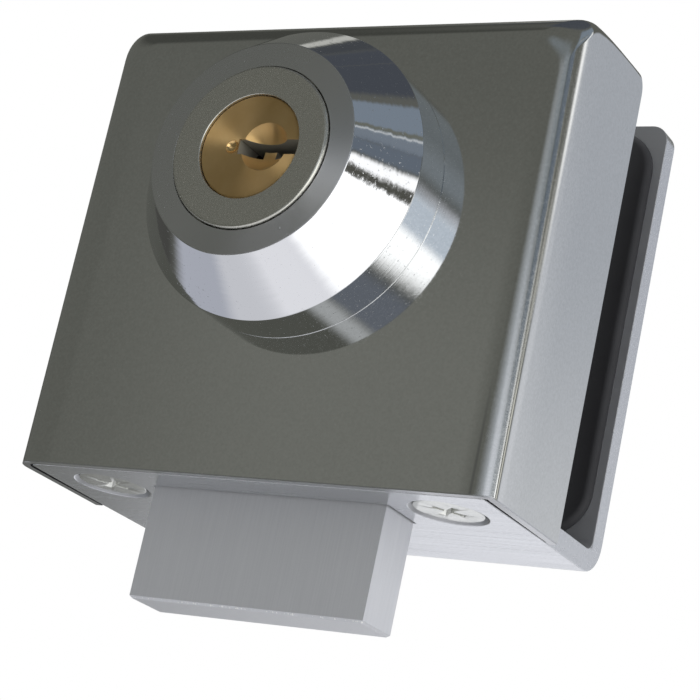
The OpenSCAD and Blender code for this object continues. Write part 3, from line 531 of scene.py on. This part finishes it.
tail = joined(tail, [slab((-3, -18.5, axis_z - 3), (-tail_flat, -11, axis_z + 3)),
                     slab((tail_flat, -18.5, axis_z - 3), (3, -11, axis_z + 3)),
                     drill(1.02, (0, -14.8, axis_z), (0, -11, axis_z))])
plug = joined(plug, [tail], "UNION")
smoothed(plug, sharp=30)
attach(plug, "plug_group")
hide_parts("plug")

# Rosette: a ring turned from brass bar and chrome plated, with a straight collar, a cone and a flat
# front. Two screws from inside the case draw it down on the cover and hold the cylinder by its lip.

collar_r = 18.5
collar_top_y = -30.45
cavity_r = 12.15
front_y = -37.8
front_r = 13.35
lip_r = 10.33
lip_y = -37.9
lip_back_y = -35.7
rib_slot_x = -14.55
rib_slot_half = 3.35
screw_rows = [axis_z + s * 15.25 for s in (-1, 1)]
cover_face_y = -24.8

# Bright chrome over turning marks: a near mirror with fine rings that the tool's chatter tilts, so that
# reflections end unevenly, dull specks, and a softer front, most of all low on the right, rubbed by hands.
turned_chrome, tree, shader, where = finish_of("chrome on turned brass", "#E3E4E6", 1.0, 0.05)
centred = add(tree, "ShaderNodeMapping", {"vector_type": "POINT"},
              {"Vector": where, "Location": (0, 0, -axis_z * MM)})
parts = add(tree, "ShaderNodeSeparateXYZ", inputs={0: centred.outputs[0]})
reach = add(tree, "ShaderNodeVectorMath", {"operation": "LENGTH"}, {
    0: add(tree, "ShaderNodeVectorMath", {"operation": "MULTIPLY"},
           {0: centred.outputs[0], 1: (1, 0, 1)}).outputs[0]})
along = add(tree, "ShaderNodeMath", {"operation": "SUBTRACT"},
            {0: reach.outputs["Value"], 1: parts.outputs[1]})
rings = add(tree, "ShaderNodeTexNoise", {"noise_dimensions": "1D"},
            {"W": along.outputs[0], "Scale": 1 / 0.00022, "Detail": 4.0})
rub = add(tree, "ShaderNodeTexNoise", inputs={"Vector": where, "Scale": 1 / 0.0011, "Detail": 6.0})
worn = add(tree, "ShaderNodeMapRange", inputs={
    "Value": rub.outputs["Fac"], "From Min": 0.52, "From Max": 0.78, "To Min": 0.045, "To Max": 0.1})
speck = add(tree, "ShaderNodeTexNoise", inputs={"Vector": where, "Scale": 1 / 0.00035, "Detail": 3.0})
specks = add(tree, "ShaderNodeMapRange", inputs={
    "Value": speck.outputs["Fac"], "From Min": 0.64, "From Max": 0.7, "To Min": 0.0, "To Max": 0.3})
front = between(tree, parts.outputs[1], front_y + 0.06, front_y + 0.01)
aslant = add(tree, "ShaderNodeVectorMath", {"operation": "DOT_PRODUCT"},
             {0: centred.outputs[0], 1: (0.8, 0, -0.6)})
handled = times(tree, front, between(tree, aslant.outputs["Value"], -6.0, 10.0))
worn = add(tree, "ShaderNodeMath", {"operation": "ADD"},
           {0: worn.outputs[0], 1: specks.outputs[0]}).outputs[0]
for mask, change in ((front, 0.2), (handled, 0.22)):
    worn = add(tree, "ShaderNodeMath", {"operation": "MULTIPLY_ADD"},
               {0: mask, 1: change, 2: worn}).outputs[0]
drawn = add(tree, "ShaderNodeMath", {"operation": "MULTIPLY"}, {0: handled, 1: 0.85})
lines = add(tree, "ShaderNodeBump",
            inputs={"Strength": 0.25, "Distance": 0.00001, "Height": rings.outputs["Fac"]})
close = add(tree, "ShaderNodeMath", {"operation": "MULTIPLY"}, {0: along.outputs[0], 1: 55.0})
ringwise = add(tree, "ShaderNodeCombineXYZ",
               inputs={0: parts.outputs[0], 1: close.outputs[0], 2: parts.outputs[2]})
chatter = add(tree, "ShaderNodeTexNoise",
              inputs={"Vector": ringwise.outputs[0], "Scale": 1 / 0.007, "Detail": 1.0})
tilt = add(tree, "ShaderNodeMapRange", inputs={
    "Value": chatter.outputs["Fac"], "From Min": 0.3, "From Max": 0.7, "To Min": -0.006, "To Max": 0.006})
spin = add(tree, "ShaderNodeTangent", {"direction_type": "RADIAL", "axis": "Y"}).outputs[0]
skew = add(tree, "ShaderNodeVectorMath", {"operation": "SCALE"}, {0: spin, "Scale": tilt.outputs[0]})
skewed = add(tree, "ShaderNodeVectorMath", {"operation": "ADD"}, {0: lines.outputs[0], 1: skew.outputs[0]})
skewed = add(tree, "ShaderNodeVectorMath", {"operation": "NORMALIZE"}, {0: skewed.outputs[0]})
shader.inputs["Anisotropic Rotation"].default_value = 0.25
feed(tree, shader, {
    "Anisotropic": drawn.outputs[0], "Tangent": spin, "Roughness": worn, "Normal": skewed.outputs[0]})

rosette = turned("rosette_ring", rounded([
    (cavity_r, cover_face_y, 0.1), (collar_r, cover_face_y, 0.12), (collar_r, collar_top_y, 0.25),
    (front_r, front_y, 0.22), (lip_r, lip_y, 0.06), (lip_r, lip_back_y, 0.05),
    (cavity_r, lip_back_y, 0.05)]), turned_chrome, segments=256)
rib_slot = slab((rib_slot_x, -34.45, axis_z - rib_slot_half), (0, -24, axis_z + rib_slot_half))
rosette = joined(rosette, [rib_slot] + [drill(1.52, (0, -29.3, z), (0, -24, z)) for z in screw_rows])
smoothed(rosette)
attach(rosette, "lock_body")
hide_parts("rosette")

# Cover: a pressing of 1 mm steel sheet, polished and chrome plated, slipped over the case from the
# front. Its front, sides and top are one skin with drawn bends, and the right bend is ground flatter
# towards its foot; it is open below and behind.

cover_half_w = 32.5
cover_top_z = 56.7
cover_low_z = -2.8
cover_back_y = -6.2
cover_d = cover_back_y - cover_face_y
sheet_t = 1.0
side_bend_w = 2.5
side_bend_d = 3.0
foot_bend_d = 0.8
bend_x = cover_half_w - side_bend_w
top_bend_r = 4.5
edge_r = 0.7
corner_swell = 3.5
corner_fade = 3.2
rim_r = 2.5
cover_hole_r = 1.7
hole_from_y = -26
hole_to_y = -22

# Polished chrome on pressed sheet: a mirror with a long, faint wave and a dusting of dull specks. The
# bends are brushed across low down, the right one beside a grey line of painted shade, the rim below is
# duller, and the inside is bare and painted dark as painted shade. The shading eases into the bends by up to
# 4 degrees.
sheet_chrome, tree, shader, where = finish_of("chrome on pressed steel", "#E2E3E2", 1.0, 0.06)
place = add(tree, "ShaderNodeSeparateXYZ", inputs={0: where}).outputs
side = add(tree, "ShaderNodeMath", {"operation": "ABSOLUTE"}, {0: place[0]}).outputs[0]
hand = add(tree, "ShaderNodeMath", {"operation": "SIGN"}, {0: place[0]}).outputs[0]
wave = add(tree, "ShaderNodeTexNoise", inputs={"Vector": where, "Scale": 1 / 0.014, "Detail": 1.0})
dust = add(tree, "ShaderNodeTexNoise", inputs={"Vector": where, "Scale": 1 / 0.00032, "Detail": 4.0})
across = add(tree, "ShaderNodeMapping", {"vector_type": "POINT"},
             {"Vector": where, "Scale": (1 / 0.004, 1 / 0.004, 1 / 0.00022)})
brush = add(tree, "ShaderNodeTexNoise", inputs={"Vector": across.outputs[0], "Scale": 1.0, "Detail": 3.0})
seam = add(tree, "ShaderNodeMath", {"operation": "MULTIPLY_ADD"},
           {0: place[2], 1: -0.037, 2: place[1]}).outputs[0]
bends = times(tree, between(tree, side, bend_x, bend_x + 0.5), between(tree, seam, -23.95, -24.15))
brushed = times(tree, bends, brush.outputs["Fac"], between(tree, place[2], 42.0, 6.0))
# A grey line of painted shade along the foot of the right bend.
bend_foot_painted_dark = times(tree, between(tree, place[0], bend_x - 0.5, bend_x - 0.2),
               between(tree, place[0], bend_x + 0.1, bend_x - 0.15), between(tree, place[2], 14.0, 2.0))
rim_mask = between(tree, place[2], cover_low_z + 0.2, cover_low_z + 0.1)
# The inside skin: rougher, and painted dark as painted shade.
outward = add(tree, "ShaderNodeVectorMath", {"operation": "SUBTRACT"}, {0: where, 1: (0, -12 * MM, 25 * MM)})
normal = add(tree, "ShaderNodeNewGeometry").outputs["True Normal"]
facing = add(tree, "ShaderNodeVectorMath", {"operation": "DOT_PRODUCT"}, {0: outward.outputs[0], 1: normal})
inside_bare_and_shaded = add(tree, "ShaderNodeMath", {"operation": "LESS_THAN"},
             {0: facing.outputs["Value"], 1: 0.0}).outputs[0]
tone = add(tree, "ShaderNodeMix", {"data_type": "RGBA"},
           {0: dust.outputs["Fac"], 6: colour("#D6D7D5"), 7: colour("#EEEFEE")}).outputs[2]
for mask, code in ((bend_foot_painted_dark, "#C2C3C4"), (rim_mask, "#D6D7D9"), (inside_bare_and_shaded, "#3C3D3F")):
    tone = add(tree, "ShaderNodeMix", {"data_type": "RGBA"}, {0: mask, 6: tone, 7: colour(code)}).outputs[2]
dull = add(tree, "ShaderNodeMapRange", inputs={
    "Value": dust.outputs["Fac"], "From Min": 0.52, "From Max": 0.8, "To Min": 0.055, "To Max": 0.13})
dull = dull.outputs[0]
for mask, change in ((brushed, 0.14), (bends, 0.09), (rim_mask, 0.25), (inside_bare_and_shaded, 0.5)):
    dull = add(tree, "ShaderNodeMath", {"operation": "MULTIPLY_ADD"},
               {0: mask, 1: change, 2: dull}).outputs[0]
ripple = add(tree, "ShaderNodeBump",
             inputs={"Strength": 0.25, "Distance": 0.00004, "Height": wave.outputs["Fac"]})
to_side = times(tree, between(tree, side, bend_x - 3.5, bend_x + 0.3), hand, 0.07)
to_front = times(tree, between(tree, place[1], -13.0, -22.5), -0.06)
ease = add(tree, "ShaderNodeCombineXYZ", inputs={0: to_side, 1: to_front})
eased = add(tree, "ShaderNodeVectorMath", {"operation": "ADD"}, {0: ripple.outputs[0], 1: ease.outputs[0]})
eased = add(tree, "ShaderNodeVectorMath", {"operation": "NORMALIZE"}, {0: eased.outputs[0]})
feed(tree, shader, {"Base Color": tone, "Roughness": dull, "Normal": eased.outputs[0]})


def bent(depth, width, deep):
    """How far a bend of a width, deep behind the front, has drawn the sheet in at a depth, all in mm."""
    left = max(1 - depth / deep, 0)
    return width * (1 - math.sqrt(1 - left ** 2))


def cover_line(depth, inset, steps=10):
    """The outline in mm of the skin that lies inset within the cover, at a depth behind that skin's front."""
    half = cover_half_w - inset - bent(depth, side_bend_w - inset, side_bend_d - inset)
    foot = cover_half_w - inset - bent(depth, side_bend_w - inset, max(foot_bend_d - inset, 0.1))
    top = cover_top_z - inset - bent(depth, top_bend_r - inset, top_bend_r - inset)
    r = max(edge_r + corner_swell * math.exp(-depth / corner_fade) - inset, 0.12)
    left = [(-half + r - r * math.cos(a), top - r + r * math.sin(a))
            for a in (math.pi / 2 * k / steps for k in range(steps + 1))]
    return [(-half, cover_low_z)] + left + [(-x, z) for x, z in reversed(left)] + [(foot, cover_low_z)]


shape = bmesh.new()
bend_steps = 28
skins = []
for inset in (0.0, sheet_t):
    deep = cover_d - inset
    depths = [deep, 0.8 * deep, 0.6 * deep, 0.45 * deep, 0.33 * deep] + [
        top_bend_r * (1 - math.sin(math.pi / 2 * k / bend_steps)) for k in range(bend_steps + 1)]
    loops = [[shape.verts.new((x * MM, (cover_face_y + inset + depth) * MM, z * MM))
              for x, z in cover_line(depth, inset)] for depth in depths]
    for back, front in zip(loops, loops[1:]):
        for k in range(len(back) - 1):
            shape.faces.new((back[k], back[k + 1], front[k + 1], front[k]))
    shape.faces.new(loops[-1])
    skins.append(loops)
outer, inner = skins
for k in range(len(outer[0]) - 1):
    shape.faces.new((outer[0][k], outer[0][k + 1], inner[0][k + 1], inner[0][k]))
shape.faces.new([loop[0] for loop in outer] + [loop[-1] for loop in reversed(outer)]
                + [loop[-1] for loop in inner] + [loop[0] for loop in reversed(inner)])
bmesh.ops.recalc_face_normals(shape, faces=shape.faces)
cover = formed("cover_shell", shape, sheet_chrome)
rim = [(cover_back_y - rim_r + rim_r * math.sin(a), cover_top_z - rim_r + rim_r * math.cos(a))
       for a in (math.pi / 2 * k / 8 for k in range(9))]
rim += [(cover_back_y + 1, cover_top_z - rim_r), (cover_back_y + 1, cover_top_z + 1),
        (cover_back_y - rim_r, cover_top_z + 1)]
cuts = [beam(rim, x - sheet_t - 0.25, x + sheet_t + 0.25) for x in (-cover_half_w, cover_half_w)]
cuts.append(drill(cavity_r, (0, hole_from_y, axis_z), (0, hole_to_y, axis_z), segments=96))
cuts.append(slab((rib_slot_x, hole_from_y, axis_z - rib_slot_half), (0, hole_to_y, axis_z + rib_slot_half)))
cuts += [drill(cover_hole_r, (0, hole_from_y, z), (0, hole_to_y, z)) for z in screw_rows]
cover = joined(cover, cuts)
smoothed(cover, edge=0.14, sharp=50)
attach(cover, "lock_body")
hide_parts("cover")

# Bracket and its screws: 2.8 mm aluminium plate bent to an L, rolled bright on its faces and sawn on
# its edges. Two countersunk cross-head screws through the lower leg hold it to the case.

leg_inner_y = 6.2
bracket_half_w = 31.25
leg_under_z = -2.8
cut_front_y = -22.4
cut_back_y = -7.8

# Rolled aluminium is pale and silky, with faint rolling streaks along the plate and sawn speckle. It is
# duller and darker on the cut walls and ends of the lower leg, partly sawn metal and partly painted shade of
# the gap beside them, and matt on the rear leg's inner face, which is roughened for the glue and painted
# darker as painted shade.
rolled_aluminium, tree, shader, where = finish_of("rolled aluminium", "#D8DADE", 0.86, 0.2)
rolled = add(tree, "ShaderNodeMapping", {"vector_type": "POINT"},
             {"Vector": where, "Scale": (1 / 0.02, 1 / 0.0007, 1 / 0.0007)})
streak = add(tree, "ShaderNodeTexNoise", inputs={"Vector": rolled.outputs[0], "Scale": 1.0, "Detail": 4.0})
saw = add(tree, "ShaderNodeTexNoise", inputs={"Vector": where, "Scale": 1 / 0.0004, "Detail": 4.0})
place = add(tree, "ShaderNodeSeparateXYZ", inputs={0: where}).outputs
# The rear leg's inner face: matt for the glue, and painted darker as painted shade.
glued_and_shaded = times(tree, between(tree, place[1], leg_inner_y + 0.12, leg_inner_y + 0.06),
              between(tree, place[2], 0.0, 0.4))
# The lower leg's cut walls: duller sawn metal, and painted darker as painted shade of the gap beside the
# cover.
sawn_and_gap_shade = times(tree, between(tree, place[2], leg_under_z + 0.02, leg_under_z + 0.1),
            between(tree, place[2], 0.0, -0.1), between(tree, place[1], cut_back_y, cut_back_y - 0.1),
            between(tree, place[1], cut_front_y, cut_front_y + 0.1))
tone = add(tree, "ShaderNodeMix", {"data_type": "RGBA"},
           {0: saw.outputs["Fac"], 6: colour("#C8CACE"), 7: colour("#E6E7EA")}).outputs[2]
for mask, code in ((sawn_and_gap_shade, "#B0B1B3"), (glued_and_shaded, "#B2B3B6")):
    tone = add(tree, "ShaderNodeMix", {"data_type": "RGBA"}, {0: mask, 6: tone, 7: colour(code)}).outputs[2]
silk = add(tree, "ShaderNodeMapRange",
           inputs={"Value": streak.outputs["Fac"], "To Min": 0.16, "To Max": 0.34}).outputs[0]
for mask, change in ((glued_and_shaded, 0.3), (sawn_and_gap_shade, 0.2)):
    silk = add(tree, "ShaderNodeMath", {"operation": "MULTIPLY_ADD"},
               {0: mask, 1: change, 2: silk}).outputs[0]
metal = add(tree, "ShaderNodeMath", {"operation": "MULTIPLY_ADD"}, {0: glued_and_shaded, 1: -0.12, 2: 0.86})
grain = add(tree, "ShaderNodeBump",
            inputs={"Strength": 0.3, "Distance": 0.00002, "Height": saw.outputs["Fac"]})
feed(tree, shader, {
    "Base Color": tone, "Roughness": silk, "Metallic": metal.outputs[0], "Normal": grain.outputs[0]})

shape = bmesh.new()
shape.from_mesh(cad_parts["bracket"].data)
bmesh.ops.remove_doubles(shape, verts=shape.verts, dist=2e-6)
bmesh.ops.dissolve_limit(shape, angle_limit=math.radians(1), verts=shape.verts, edges=shape.edges)
bracket = formed("bracket_plate", shape, rolled_aluminium)

# The lower leg is narrowed towards its front, which opens the gap beside the cover's walls.
front_half_w = 30.9
taper_front_y = -25
taper_back_y = -8
wedges = []
for s in (-1, 1):
    wedge = slab((front_half_w, taper_front_y, -4), (bracket_half_w + 0.15, taper_back_y, 1))
    for v in wedge.data.vertices:
        if v.co.y > (taper_back_y - 1) * MM:
            v.co.x = max(v.co.x, bracket_half_w * MM)
        v.co.x *= s
    if s < 0:
        wedge.data.flip_normals()
    wedges.append(wedge)
bracket = joined(bracket, wedges)
smoothed(bracket, edge=0.15, sharp=35)
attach(bracket, "lock_body")
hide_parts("bracket")

screw_head_r = 4.43
screw_shank_r = 2.48
screw_long = 12.0
one_screw = turned("one_screw", rounded([
    (0, 0, 0), (screw_head_r, 0, 0.12), (screw_shank_r, screw_head_r - screw_shank_r, 0.1),
    (screw_shank_r, screw_long, 0.3), (0, screw_long, 0)], closed=False),
    zinc_plate, segments=96, closed=False)
one_screw.data.transform(Matrix.Translation((0, 0, -axis_z * MM)))
recess_reach, recess_foot, recess_half, recess_deep, recess_taper = 2.1, 0.9, 0.45, 1.8, 0.7
blades = []
for across in (False, True):
    blade = slab((-recess_reach, -0.01, -recess_half), (recess_reach, recess_deep, recess_half))
    for v in blade.data.vertices:
        if v.co.y > 0:
            v.co.x *= recess_foot / recess_reach
            v.co.z *= recess_taper
    if across:
        blade.data.transform(Matrix.Rotation(math.pi / 2, 4, "Y"))
    blades.append(blade)
one_screw = joined(one_screw, blades)
one_screw.data.transform(Matrix.Rotation(math.pi / 2, 4, "X"))

# The pair: the same screw at both ends of a line, each turned as it happened to tighten.
pair_tree, given, out = tree_of("screws along a line", {
    "Screw": "Object", "First": "Vector", "Last": "Vector", "Count": "Int", "Seed": "Int",
    "Finish": "Material"})
spots = add(pair_tree, "GeometryNodeMeshLine", {"mode": "END_POINTS"},
            {"Count": given["Count"], "Start Location": given["First"], "Offset": given["Last"]})
model = add(pair_tree, "GeometryNodeObjectInfo", inputs={"Object": given["Screw"], "As Instance": True})
turn = add(pair_tree, "FunctionNodeRandomValue", {"data_type": "FLOAT_VECTOR"},
           {0: (0.0, 0.0, -0.8), 1: (0.0, 0.0, 0.8), 8: given["Seed"]})
driven = add(pair_tree, "GeometryNodeInstanceOnPoints", inputs={
    "Points": spots.outputs[0], "Instance": model.outputs["Geometry"], "Rotation": turn.outputs[0]})
whole = add(pair_tree, "GeometryNodeRealizeInstances", inputs={0: driven.outputs[0]})
painted = add(pair_tree, "GeometryNodeSetMaterial",
              inputs={"Geometry": whole.outputs[0], "Material": given["Finish"]})
pair_tree.links.new(painted.outputs[0], out.inputs[0])

screw_x, screw_y, screw_z = 0.02325, -0.0164, -0.00258
mesh = grown("screw_pair", pair_tree, bpy.data.meshes.new("line"), {
    "Screw": one_screw, "First": (-screw_x, screw_y, screw_z), "Last": (screw_x, screw_y, screw_z),
    "Count": 2, "Seed": 5, "Finish": zinc_plate})
bpy.data.objects.remove(one_screw)
screws = linked("screw_pair", mesh)
smoothed(screws, edge=0.05, sharp=40)
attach(screws, "lock_body")
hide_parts("bracket_screws")

# Glass pads: die-cut sheets of soft black rubber, glued to the rear leg and to the case's back plate,
# which take the glass between them. Their cut edges are slightly rolled.

pad_corner_r = 0.0055
pad_roll = 0.0009

# Black rubber is a dark matt grey mottled by talc; away from its right edge it is painted a paler flat grey,
# painted light on the shaded part.
black_rubber, tree, shader, where = finish_of("black rubber", "#2C2C2E", 0.0, 0.62)
shader.inputs["Specular IOR Level"].default_value = 0.35
talc = add(tree, "ShaderNodeTexNoise", inputs={"Vector": where, "Scale": 1 / 0.004, "Detail": 6.0})
pore = add(tree, "ShaderNodeTexNoise", inputs={"Vector": where, "Scale": 1 / 0.0003, "Detail": 2.0})
tone = add(tree, "ShaderNodeMix", {"data_type": "RGBA"},
           {0: talc.outputs["Fac"], 6: colour("#262628"), 7: colour("#323234")})
place = add(tree, "ShaderNodeSeparateXYZ", inputs={0: where}).outputs
# Painted light: left of the right edge the pads are painted a paler flat grey, which lifts their shaded part.
tone = add(tree, "ShaderNodeMix", {"data_type": "RGBA"},
           {0: between(tree, place[0], 30.0, 25.0), 6: tone.outputs[2], 7: colour("#48484A")})
pitted = add(tree, "ShaderNodeBump",
             inputs={"Strength": 0.4, "Distance": 0.00003, "Height": pore.outputs["Fac"]})
feed(tree, shader, {"Base Color": tone.outputs[2], "Normal": pitted.outputs[0]})


def pad(name, node, glass_side):
    """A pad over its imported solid's box, with rolled edges towards the glass."""
    low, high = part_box(node)
    steps, arc = 8, 12
    seat, face = (high.y, low.y) if glass_side < 0 else (low.y, high.y)
    layers = [(seat, 0.00008), (seat + glass_side * 0.00015, 0.0)] + [
        (face - glass_side * pad_roll * (1 - math.sin(a)), pad_roll * (1 - math.cos(a)))
        for a in (math.pi / 2 * k / steps for k in range(steps + 1))]
    shape = bmesh.new()
    loops = []
    for y, inset in layers:
        loop = []
        for sx, sz, start in ((1, 1, 0), (-1, 1, 1), (-1, -1, 2), (1, -1, 3)):
            cx = (high.x if sx > 0 else low.x) - sx * pad_corner_r
            cz = (high.z if sz > 0 else low.z) - sz * pad_corner_r
            for k in range(arc + 1):
                a = math.pi / 2 * (start + k / arc)
                loop.append(shape.verts.new((cx + (pad_corner_r - inset) * math.cos(a), y,
                                             cz + (pad_corner_r - inset) * math.sin(a))))
        loops.append(loop)
    count = len(loops[0])
    for back, front in zip(loops, loops[1:]):
        for k in range(count):
            shape.faces.new((back[k], back[(k + 1) % count], front[(k + 1) % count], front[k]))
    shape.faces.new(loops[0])
    shape.faces.new(loops[-1])
    bmesh.ops.recalc_face_normals(shape, faces=shape.faces)
    made = formed(name, shape, black_rubber)
    smoothed(made)
    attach(made, "lock_body")
    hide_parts(node)


pad("rear_rubber", "rear_pad", -1)
pad("front_rubber", "front_pad", 1)

# Studio: a plain pale floor below the camera, three soft lamps, and a world that is white to the eye
# while the metal sees a dim room with a white panel on the right and pale cards low down and behind.

floor_z = -0.075
floor_half = 1.5
mesh = bpy.data.meshes.new("floor")
mesh.from_pydata([(x * floor_half, y * floor_half, floor_z) for x, y in ((-1, -1), (1, -1), (1, 1), (-1, 1))],
                 [], [(0, 1, 2, 3)])
floor = linked("floor", mesh)
floor.visible_glossy = False
mesh.materials.append(finish_of("pale floor", "#E6E6E6", 0.0, 0.9)[0])

for name, spot, size, power in (
        ("panel lamp", (0.8, -0.12, 0.05), 0.7, 6.5), ("fill lamp", (-0.5, -0.6, 0.4), 0.9, 0.7),
        ("top lamp", (0.1, 0.1, 0.9), 0.8, 4.0)):
    lamp = bpy.data.objects.new(name, bpy.data.lights.new(name, "AREA"))
    bpy.context.scene.collection.objects.link(lamp)
    lamp.data.size, lamp.data.energy = size, power
    lamp.location = spot
    lamp.rotation_euler = Vector(spot).to_track_quat("Z", "Y").to_euler()
    lamp.visible_glossy = False

world = bpy.data.worlds.new("studio")
bpy.context.scene.world = world
world.use_nodes = True
tree = world.node_tree
backdrop = tree.nodes["Background"]
looking = add(tree, "ShaderNodeTexCoord").outputs["Generated"]
looking = add(tree, "ShaderNodeSeparateXYZ", inputs={0: looking}).outputs
toward = add(tree, "ShaderNodeMath", {"operation": "MULTIPLY"}, {0: looking[1], 1: -1.0}).outputs[0]
angles = {}
for side, kind, first, second in (
        ("front", "ARCTAN2", looking[0], toward), ("back", "ARCTAN2", looking[0], looking[1]),
        ("up", "ARCSINE", looking[2], 0.0)):
    turn = add(tree, "ShaderNodeMath", {"operation": kind}, {0: first, 1: second})
    angles[side] = add(tree, "ShaderNodeMath", {"operation": "DEGREES"}, {0: turn.outputs[0]}).outputs[0]
torn = add(tree, "ShaderNodeTexNoise", {"noise_dimensions": "1D"},
           {"W": angles["front"], "Scale": 1.6, "Detail": 3.0})
ragged = add(tree, "ShaderNodeMath", {"operation": "MULTIPLY_ADD"},
             {0: torn.outputs["Fac"], 1: 9.0, 2: -4.5})
ragged = add(tree, "ShaderNodeMath", {"operation": "ADD"}, {0: ragged.outputs[0], 1: angles["up"]}).outputs[0]
sides = {"front": (angles["front"], angles["up"]), "back": (angles["back"], angles["up"]),
         "ragged": (angles["front"], ragged)}

# Each card: the side it is measured from, or ragged for one in front with a torn edge; the azimuth and
# elevation of its middle, its half width and half height and the softness of its edges, all in degrees;
# then its colour and strength.
cards = [
    ("floor below", "front", 0, -90, 180, 50, 18, "#D6D7DC", 1.0),
    ("bright floor to the right", "front", 40, -80, 100, 30, 50, "#F4F4F8", 1.0),
    ("pale floor to the left", "front", -100, -32, 14, 17, 12, "#B6B9C3", 1.0),
    ("dark floor in front", "front", -28, -20, 52, 22, 10, "#5E5F59", 1.0),
    ("dark patch on the floor", "front", 16, -30, 10, 9, 6, "#737881", 1.0),
    ("grey patch on the floor", "front", -1, -36, 6, 5, 8, "#C0C2C3", 1.0),
    ("lighter wall ahead", "front", -29, 13, 7, 7, 8, "#757671", 1.0),
    ("pale upper wall", "front", 1, 37, 21, 6, 10, "#777D80", 1.0),
    ("wall right of ahead", "front", 8, 15, 12, 10, 18, "#A6ABB0", 1.0),
    ("upper wall right of ahead", "front", 24, 27, 12, 6, 10, "#888F94", 1.0),
    ("glow low on that wall", "front", 21, 9, 12, 7.5, 7, "#F0F3FC", 1.15),
    ("blue haze before the panel", "front", 54, 20, 16, 9, 10, "#616B75", 1.0),
    ("dark upper left", "front", -88, 52, 34, 12, 12, "#464743", 1.0),
    ("dark left", "back", -60, 2, 12, 12, 10, "#4A4A47", 1.0),
    ("pale wall behind", "back", 10, -12, 43, 14, 10, "#F2F3F8", 1.12),
    ("grey wall behind to the right", "back", 34, 20, 22, 12, 10, "#B0B4BC", 1.0),
    ("paler foot of that wall", "back", 34, 9, 22, 6, 12, "#D4D6DA", 1.0),
    ("bright edge of that wall", "back", 46, 9, 12, 11, 14, "#D8DAE0", 1.0),
    ("blue card above right", "front", 90, 45.5, 40, 14.5, 3, "#808B97", 1.0),
    ("olive thread", "front", 78, 41.6, 20, 1.4, 1.8, "#70726A", 1.0),
    ("white thread", "front", 78, 39.2, 20, 0.7, 1.2, "#C6CACC", 1.0),
    ("grey ledge", "front", 74, 34.6, 20, 3.6, 1.5, "#7C858F", 1.0),
    ("navy window", "ragged", 68, 25.4, 18, 5.8, 4, "#69727D", 1.0),
    ("beige wall past the panel", "front", 93, 17, 8, 5, 5, "#A6A59E", 1.0),
    ("dark post", "front", 101, 14, 3, 7, 3, "#6E6E6A", 1.0),
    ("pale edge of the strip", "front", 112, 15, 3.5, 6, 4, "#DAD8D0", 1.0),
    ("white strip to the right", "front", 125, 31, 4, 10, 5, "#FFFFFF", 1.3),
    ("dark ceiling", "front", 0, 90, 180, 24, 5, "#4A4E55", 1.0),
    ("dark roof", "back", -38, 61, 20, 5, 4, "#474A4E", 1.0),
    ("roof light", "back", -38, 52, 6, 3, 3, "#BEBEB8", 1.0),
    ("foot of the white panel", "front", 68, -42, 16, 20, 14, "#FFFFFF", 1.5),
    ("white panel", "front", 59, -8, 29, 19, 6, "#FFFFFF", 1.8),
    ("crown of the white panel", "front", 84, 12.5, 13, 5, 4, "#FFFFFF", 1.3),
    ("panel frame", "ragged", 77, 5.4, 7, 3.9, 2.0, "#55554F", 1.0),
    ("blue edge of the panel", "front", 34, 5, 5, 8, 6, "#DDE7F3", 1.0),
]
seen = add(tree, "ShaderNodeRGB").outputs[0]
seen.default_value = colour("#62635E")
for name, side, azimuth, elevation, half_w, half_h, soft, code, strength in cards:
    masks = []
    for socket, middle, half in zip(sides[side], (azimuth, elevation), (half_w, half_h)):
        off = add(tree, "ShaderNodeMath", {"operation": "SUBTRACT"}, {0: socket, 1: float(middle)})
        away = add(tree, "ShaderNodeMath", {"operation": "ABSOLUTE"}, {0: off.outputs[0]})
        edge = add(tree, "ShaderNodeMapRange", {"interpolation_type": "SMOOTHSTEP"}, {
            "Value": away.outputs[0], "From Min": float(half + soft / 2), "From Max": float(half - soft / 2)})
        masks.append(edge.outputs[0])
    mask = add(tree, "ShaderNodeMath", {"operation": "MULTIPLY"}, {0: masks[0], 1: masks[1]})
    glow = [channel * strength for channel in colour(code)[:3]] + [1.0]
    seen = add(tree, "ShaderNodeMix", {"data_type": "RGBA", "label": name},
               {0: mask.outputs[0], 6: seen, 7: glow}).outputs[2]
path = add(tree, "ShaderNodeLightPath").outputs
lit = add(tree, "ShaderNodeMix", {"data_type": "RGBA"},
          {0: path["Is Glossy Ray"], 6: colour("#B4B6B8"), 7: seen}).outputs[2]
shown = add(tree, "ShaderNodeMix", {"data_type": "RGBA"},
            {0: path["Is Camera Ray"], 6: lit, 7: colour("#FFFFFF")}).outputs[2]
tree.links.new(shown, backdrop.inputs["Color"])

# Camera: below and to the right of the lock, looking up, as the photograph was taken.
camera = bpy.data.objects.new("camera", bpy.data.cameras.new("camera"))
bpy.context.scene.collection.objects.link(camera)
right = Vector((0.86708, 0.45410, 0.20486))
up = Vector((-0.03916, -0.34782, 0.93674))
back = Vector((0.49663, -0.82025, -0.28381))
spot = Vector((0.147746, -0.250672, -0.064816))
camera.matrix_world = Matrix.Translation(spot) @ Matrix((right, up, back)).transposed().to_4x4()
camera.data.sensor_width = 36
camera.data.lens = 123.36
camera.data.clip_start = 0.01
bpy.context.scene.camera = camera
bpy.context.scene.view_settings.view_transform = "Standard"
